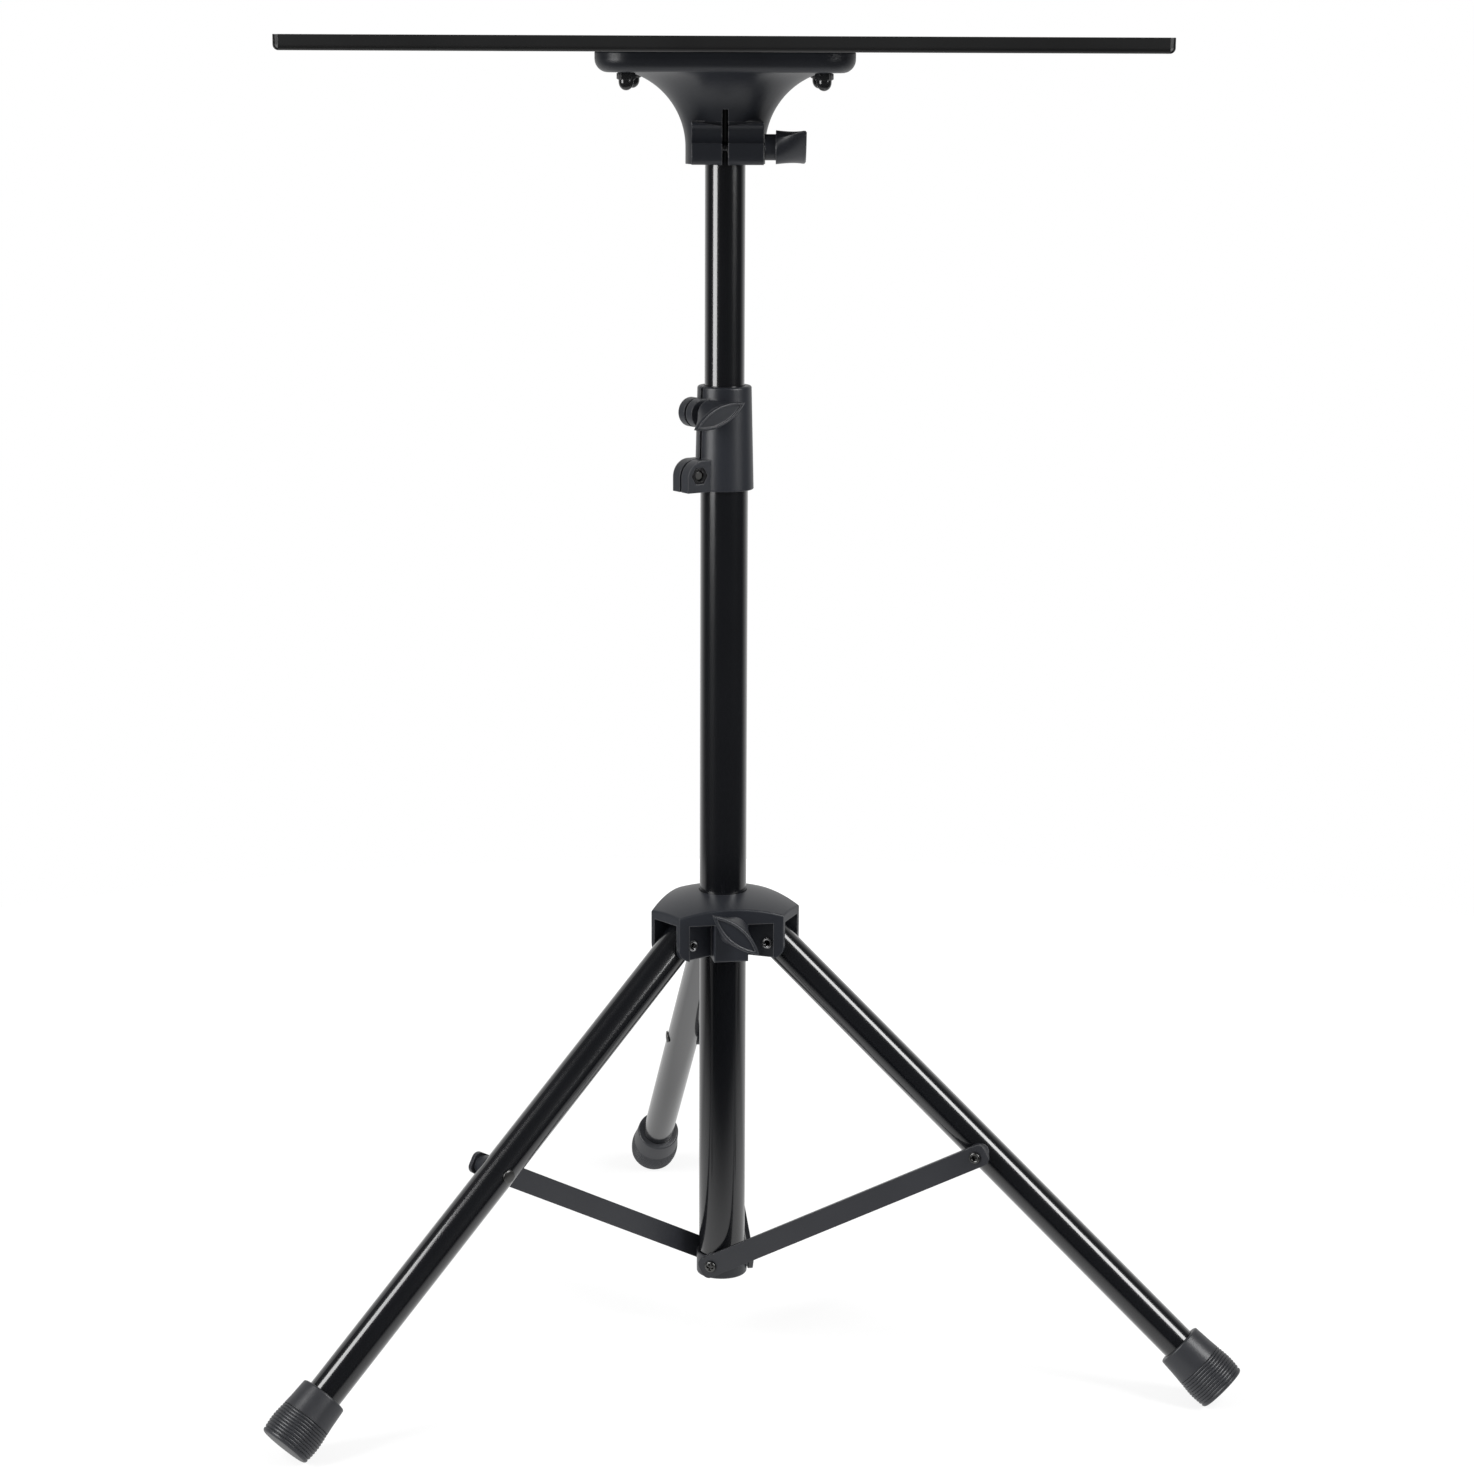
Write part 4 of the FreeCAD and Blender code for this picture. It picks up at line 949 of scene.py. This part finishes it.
@dataclass
class Leg(SubAssembly):
    """One leg with its foot, bolt and bushing, and its brace with rivet and screw.

    Attributes:
        side: Which of the three legs.
        shank_radius: Radius of the screw, the rivet and the bolt.
        shank_overlap: How far the screw's shank runs into its head.
        head_radius: Radius of the heads of screw and rivet.
        head_height: Height of these heads.
        screw_crown: Height of the domed part of the screw's head.
        recess_depth: Depth of the screw's recess.
        rivet_side: Height of the straight side of the rivet's head.
        rivet_hole: Radius of the rivet's hole.
        rivet_hole_depth: How far the hole runs on below the head.
        bolt_head_radius: Radius of the bolt's head.
        bolt_head_height: Height of the bolt's head.
        bolt_side: Height of the straight side under its dome.
        foot_side: Radius and height of points up the foot's side, without ribs.
        foot_rim: Radius of the rounding at the foot's upper end.
        foot_bore: Radius of the hole for the leg's tube.
        foot_floor: Height of the hole's floor over the sole.
        rib_count: Number of ribs.
        rib_start: Height of the lowest groove.
        rib_pitch: Height of one rib.
        rib_depth: Depth of the grooves.
    """

    SIDES = ("left", "right", "rear")
    side: str = "left"
    shank_radius: float = 0.0030
    shank_overlap: float = 0.0002
    head_radius: float = 0.0037
    head_height: float = 0.0020
    screw_crown: float = 0.0013
    recess_depth: float = 0.0014
    rivet_side: float = 0.0006
    rivet_hole: float = 0.0016
    rivet_hole_depth: float = 0.0005
    bolt_head_radius: float = 0.0042
    bolt_head_height: float = 0.0012
    bolt_side: float = 0.0004
    foot_side: Profile = ((0.0165, 0.0020), (0.0169, 0.0050), (0.0172, 0.0090), (0.0172, 0.0125),
                          (0.0168, 0.0170), (0.0163, 0.0210), (0.0158, 0.0260), (0.0151, 0.0375))
    foot_rim: float = 0.0012
    foot_bore: float = 0.01105
    foot_floor: float = 0.0050
    rib_count: int = 9
    rib_start: float = 0.0030
    rib_pitch: float = 0.00198
    rib_depth: float = 0.0008

    @classmethod
    def on(cls, side: str) -> "Leg":
        """The leg on one side."""
        looks = {f"{side}_leg_tube": Look.TUBE_GLOSS, f"{side}_spacer": Look.MOULDED,
                 f"{side}_brace": Look.BRACE_SATIN}
        return cls(f"{side} leg", looks, side)

    def build(self, materials: Materials) -> None:
        """Make the brace's screw and rivet, the leg's bolt and its foot.

        Args:
            materials: The finished materials.
        """
        axis = joint_axis(f"{self.side}_brace_fold")
        self._screw(axis, materials)
        self._rivet(axis, materials)
        self._bolt(axis, materials)
        self._foot(materials)

    def _screw(self, axis: Vector, materials: Materials) -> None:
        """The cross-recessed screw that holds the brace to the cap.

        Args:
            axis: Direction out of the brace.
            materials: The finished materials.
        """
        foot, end = span(f"{self.side}_brace_screw", axis)
        seat = (end - foot).length - self.head_height
        head = screw_head(self.head_radius, self.head_height, self.screw_crown, Recess.CROSS,
                          self.recess_depth)
        head = Shell([point + seat * UP for point in head.points], head.faces)
        shank = turn([(self.shank_radius, 0.0), (self.shank_radius, seat + self.shank_overlap)])
        self.fit(f"{self.side}_cross_screw", [head, shank], [(foot, axis)], "pole",
                 f"{self.side}_brace_screw", Look.DARK_ZINC, materials)

    def _rivet(self, axis: Vector, materials: Materials) -> None:
        """The hollow rivet at the brace's outer end.

        Args:
            axis: Direction out of the brace.
            materials: The finished materials.
        """
        foot, end = span(f"{self.side}_brace_rivet", axis)
        top = (end - foot).length
        seat = top - self.head_height
        crest = (self.head_radius + self.rivet_hole) / 2
        wide, high = self.head_radius - crest, self.head_height - self.rivet_side
        turns = (0.0, 0.4, 0.8, 1.2, math.pi / 2)
        arc = [(crest + wide * math.cos(a), seat + self.rivet_side + high * math.sin(a)) for a in turns]
        rivet = turn([(self.shank_radius, 0.0), (self.shank_radius, seat), (self.head_radius, seat),
                      *arc, *upside_down(hole_mouth(self.rivet_hole), top),
                      (self.rivet_hole, seat - self.rivet_hole_depth)])
        self.fit(f"{self.side}_hollow_rivet", [rivet], [(foot, axis)], f"{self.side}_brace",
                 f"{self.side}_brace_rivet", Look.DARK_ZINC, materials)

    def _bolt(self, axis: Vector, materials: Materials) -> None:
        """The bolt through the leg, with a low domed head away from the brace.

        Args:
            axis: Direction towards the brace.
            materials: The finished materials.
        """
        foot, end = span(f"{self.side}_leg_bolt", axis)
        top = (end - foot).length
        seat = top - self.bolt_head_height
        crown = dome(self.bolt_head_radius, seat + self.bolt_side, top, steps=8, tip=0.1)
        bolt = turn([(self.shank_radius, 0.0), (self.shank_radius, seat), (self.bolt_head_radius, seat),
                     *crown])
        self.fit(f"{self.side}_domed_bolt", [bolt], [(end, -axis)], f"{self.side}_leg",
                 f"{self.side}_leg_bolt", Look.DARK_ZINC, materials)

    def _foot(self, materials: Materials) -> None:
        """The rubber foot, which swells round its ribs.

        Args:
            materials: The finished materials.
        """
        fold = joint_axis(f"{self.side}_leg_fold")
        reach = span(f"{self.side}_leg_pin", fold)[0] - span(f"{self.side}_leg_bolt", fold)[0]
        along = (reach - reach.dot(fold) * fold).normalized()
        sole, _ = span(f"{self.side}_foot", along)
        arc_steps = 6
        quarter = [math.pi / 2 * step / arc_steps for step in range(arc_steps + 1)]
        wide, edge = self.foot_side[0]
        narrow, shoulder = self.foot_side[-1]
        lip = self.foot_rim
        rounded = [(wide - edge + edge * math.sin(a), edge - edge * math.cos(a)) for a in quarter]
        ribs = self._ribs()
        plain = [point for point in self.foot_side if point[1] > ribs[-1][1]]
        rim = [(narrow - lip + lip * math.cos(a), shoulder + lip * math.sin(a)) for a in quarter[1:]]
        bore = [(self.foot_bore, rim[-1][1]), (self.foot_bore, self.foot_floor)]
        foot = turn([*rounded, *ribs, *plain, *rim, *bore], segments=96)
        self.fit(f"{self.side}_ribbed_foot", [foot], [(sole, along)], f"{self.side}_leg",
                 f"{self.side}_foot", Look.RUBBER_SKIN, materials)

    def _ribs(self) -> Profile:
        """The foot's rounded ribs, from the lowest groove up, as radius and height."""
        steps = 8
        points = []
        for step in range(steps * self.rib_count + 1):
            rib, part = divmod(step, steps)
            angle = math.pi * part / steps
            height = self.rib_start + self.rib_pitch * (rib + (1 - math.cos(angle)) / 2)
            dip = self.rib_depth * (1 - math.sin(angle))
            points.append((radius_at(self.foot_side, height) - dip, height))
        return points


def sub_assemblies() -> list[SubAssembly]:
    """All groups of the stand, in building order."""
    return [Pole(), Head(), Knobs(), Hub(), *(Leg.on(side) for side in Leg.SIDES)]


# Studio


@dataclass
class Softbox:
    """One area lamp that points at the stand.

    Attributes:
        name: Name of the lamp.
        place: Where it stands.
        target: Where it points.
        width: Width of its face.
        height: Height of its face.
        watts: Its power.
    """

    name: str
    place: Place
    target: Place
    width: float
    height: float
    watts: float

    def build(self) -> None:
        """Put the lamp in the scene."""
        lamp = bpy.data.lights.new(self.name, "AREA")
        lamp.shape = "RECTANGLE"
        lamp.size = self.width
        lamp.size_y = self.height
        lamp.energy = self.watts
        item = bpy.data.objects.new(self.name, lamp)
        bpy.context.scene.collection.objects.link(item)
        item.location = self.place
        aim = Vector(self.target) - Vector(self.place)
        item.rotation_euler = aim.to_track_quat("-Z", "Y").to_euler()


@dataclass
class Studio:
    """Floor, world, lamps and the photograph's camera.

    Attributes:
        photo_side: Side of the photograph in pixels.
        focal_px: Focal length in pixels of the photograph.
        sensor: Width of the camera's sensor in millimetres.
        clip_end: How far the camera sees.
        pitch: Camera's downward tilt in degrees.
        roll: Camera's roll in degrees.
        place: Camera's place in metres.
        floor_radius: Radius of the round floor.
        floor_sides: Corners of the round floor.
        floor_roughness: Roughness of the floor.
        floor_shade: How much lamp light the floor returns, and so how deep its shadow is.
        floor_seen: Floor's glow for the camera, by distance from the pole.
        floor_pool: Floor's glow in reflections, by distance from the pole.
        pool_stretch: Factor on that distance from left to right, which makes the pool oval.
        floor_back: Floor's glow in reflections, from front to back.
        floor_glow: Floor's glow for soft light.
        room_back: Room's level in reflections, from front to back.
        room_glow: Room's level for soft light.
        lamps: The area lamps.
    """

    photo_side: int = 1474
    focal_px: float = 3300.0
    sensor: float = 36.0
    clip_end: float = 100.0
    pitch: float = 11.85
    roll: float = 0.236
    place: Place = (0.00869, -2.0629, 0.836)
    floor_radius: float = 1.3
    floor_sides: int = 128
    floor_roughness: float = 0.9
    floor_shade: float = 0.27
    floor_seen: Ramp = Ramp(0.45, 1.1, 0.79, 1.0)
    floor_pool: Ramp = Ramp(0.12, 0.52, 0.80, 0.0)
    pool_stretch: float = 0.55
    floor_back: Ramp = Ramp(-0.15, 0.35, 0.0, 0.6)
    floor_glow: float = 1.1
    room_back: Ramp = Ramp(0.1, 0.9, 0.05, 0.70)
    room_glow: float = 0.32
    lamps: tuple[Softbox, ...] = (
        Softbox("left_box", (-1.55, -0.97, 1.26), (0.0, 0.0, 0.70), 0.90, 2.00, 43.5),
        Softbox("right_box", (1.52, -0.99, 1.51), (0.0, 0.0, 0.60), 0.80, 1.64, 40.0))

    def build(self) -> None:
        """Make the whole studio."""
        self._floor()
        self._world()
        for lamp in self.lamps:
            lamp.build()
        self._camera()
        bpy.context.scene.view_settings.view_transform = "Standard"

    def _floor(self) -> None:
        """Lay the pale floor, which keeps the shadow and fades to the white room."""
        mesh = bpy.data.meshes.new("floor")
        sides = range(self.floor_sides)
        rim = [polar(self.floor_radius, math.tau * i / self.floor_sides, 0.0) for i in sides]
        mesh.from_pydata(rim, [], [tuple(sides)])
        floor = bpy.data.objects.new("floor", mesh)
        bpy.context.scene.collection.objects.link(floor)
        material = bpy.data.materials.new("pale_floor")
        material.use_nodes = True
        tree = material.node_tree
        shader = tree.nodes["Principled BSDF"]
        shader.inputs["Roughness"].default_value = self.floor_roughness
        shader.inputs["Specular IOR Level"].default_value = 0.0
        shader.inputs["Emission Color"].default_value = WHITE
        path = tree.nodes.new("ShaderNodeLightPath")
        direct = maths(tree, "SUBTRACT", 1.0, path.outputs["Is Glossy Ray"])
        tree.links.new(maths(tree, "MULTIPLY", direct, self.floor_shade), shader.inputs["Base Color"])
        coords = tree.nodes.new("ShaderNodeTexCoord")
        split = tree.nodes.new("ShaderNodeSeparateXYZ")
        tree.links.new(coords.outputs["Object"], split.inputs[0])
        across, along = split.outputs["X"], split.outputs["Y"]
        seen = fade(tree, self._distance(tree, across, along, 1.0), self.floor_seen)
        pool = fade(tree, self._distance(tree, across, along, self.pool_stretch), self.floor_pool)
        mirrored = maths(tree, "MAXIMUM", pool, fade(tree, along, self.floor_back))
        level = self._by_ray(tree, seen, mirrored, self.floor_glow)
        tree.links.new(level, shader.inputs["Emission Strength"])
        mesh.materials.append(material)

    def _world(self) -> None:
        """Show a white room behind the stand and a dim one in front of it."""
        world = bpy.data.worlds.new("room")
        bpy.context.scene.world = world
        world.use_nodes = True
        tree = world.node_tree
        back = tree.nodes["Background"]
        back.inputs["Color"].default_value = WHITE
        coords = tree.nodes.new("ShaderNodeTexCoord")
        split = tree.nodes.new("ShaderNodeSeparateXYZ")
        tree.links.new(coords.outputs["Generated"], split.inputs[0])
        mirrored = fade(tree, split.outputs["Y"], self.room_back)
        tree.links.new(self._by_ray(tree, 1.0, mirrored, self.room_glow), back.inputs["Strength"])

    @staticmethod
    def _distance(tree: bpy.types.NodeTree, across: object, along: object, stretch: float) -> object:
        """Measure how far a point of the floor is from the pole.

        Args:
            tree: Tree that takes the nodes.
            across: Socket of the place from left to right.
            along: Socket of the place from front to back.
            stretch: Factor on the way across, under 1 for an oval.

        Returns:
            The distance's socket.
        """
        stretched = maths(tree, "MULTIPLY", across, stretch)
        wide = maths(tree, "POWER", maths(tree, "ABSOLUTE", stretched), 2.0)
        deep = maths(tree, "POWER", maths(tree, "ABSOLUTE", along), 2.0)
        return maths(tree, "SQRT", maths(tree, "ADD", wide, deep))

    @staticmethod
    def _by_ray(tree: bpy.types.NodeTree, seen: object, mirrored: object, spread: float) -> object:
        """Choose a level by what looks at it.

        Args:
            tree: Tree that takes the nodes.
            seen: Level for the camera.
            mirrored: Level for reflections and for what shows through.
            spread: Level for soft light.

        Returns:
            The chosen level's socket.
        """
        path = tree.nodes.new("ShaderNodeLightPath")
        camera = path.outputs["Is Camera Ray"]
        glossy, through = path.outputs["Is Glossy Ray"], path.outputs["Is Transmission Ray"]
        sharp = maths(tree, "MAXIMUM", glossy, through)
        sharp = maths(tree, "MAXIMUM", maths(tree, "SUBTRACT", sharp, camera), 0.0)
        rest = maths(tree, "SUBTRACT", maths(tree, "SUBTRACT", 1.0, camera), sharp)
        level = maths(tree, "MULTIPLY", camera, seen)
        level = maths(tree, "ADD", level, maths(tree, "MULTIPLY", sharp, mirrored))
        return maths(tree, "ADD", level, maths(tree, "MULTIPLY", rest, spread))

    def _camera(self) -> None:
        """Stand the camera where the photograph was taken."""
        lens = bpy.data.cameras.new("photo_camera")
        lens.sensor_fit = "HORIZONTAL"
        lens.sensor_width = self.sensor
        lens.lens = self.focal_px * self.sensor / self.photo_side
        lens.clip_end = self.clip_end
        camera = bpy.data.objects.new("photo_camera", lens)
        bpy.context.scene.collection.objects.link(camera)
        tilt = Matrix.Rotation(math.radians(90.0 - self.pitch), 4, "X")
        twist = Matrix.Rotation(math.radians(self.roll), 4, "Z")
        camera.matrix_world = Matrix.Translation(self.place) @ tilt @ twist
        bpy.context.scene.camera = camera


def main() -> None:
    """Build and dress the stand in order."""
    logging.basicConfig(level=logging.INFO, format="%(message)s")
    effects = Effects()
    materials = {finish.look: finish.build(effects) for finish in FINISHES}
    for group in sub_assemblies():
        group.dress(materials)
        group.build(materials)
    Studio().build()


if __name__ == "__main__":
    main()
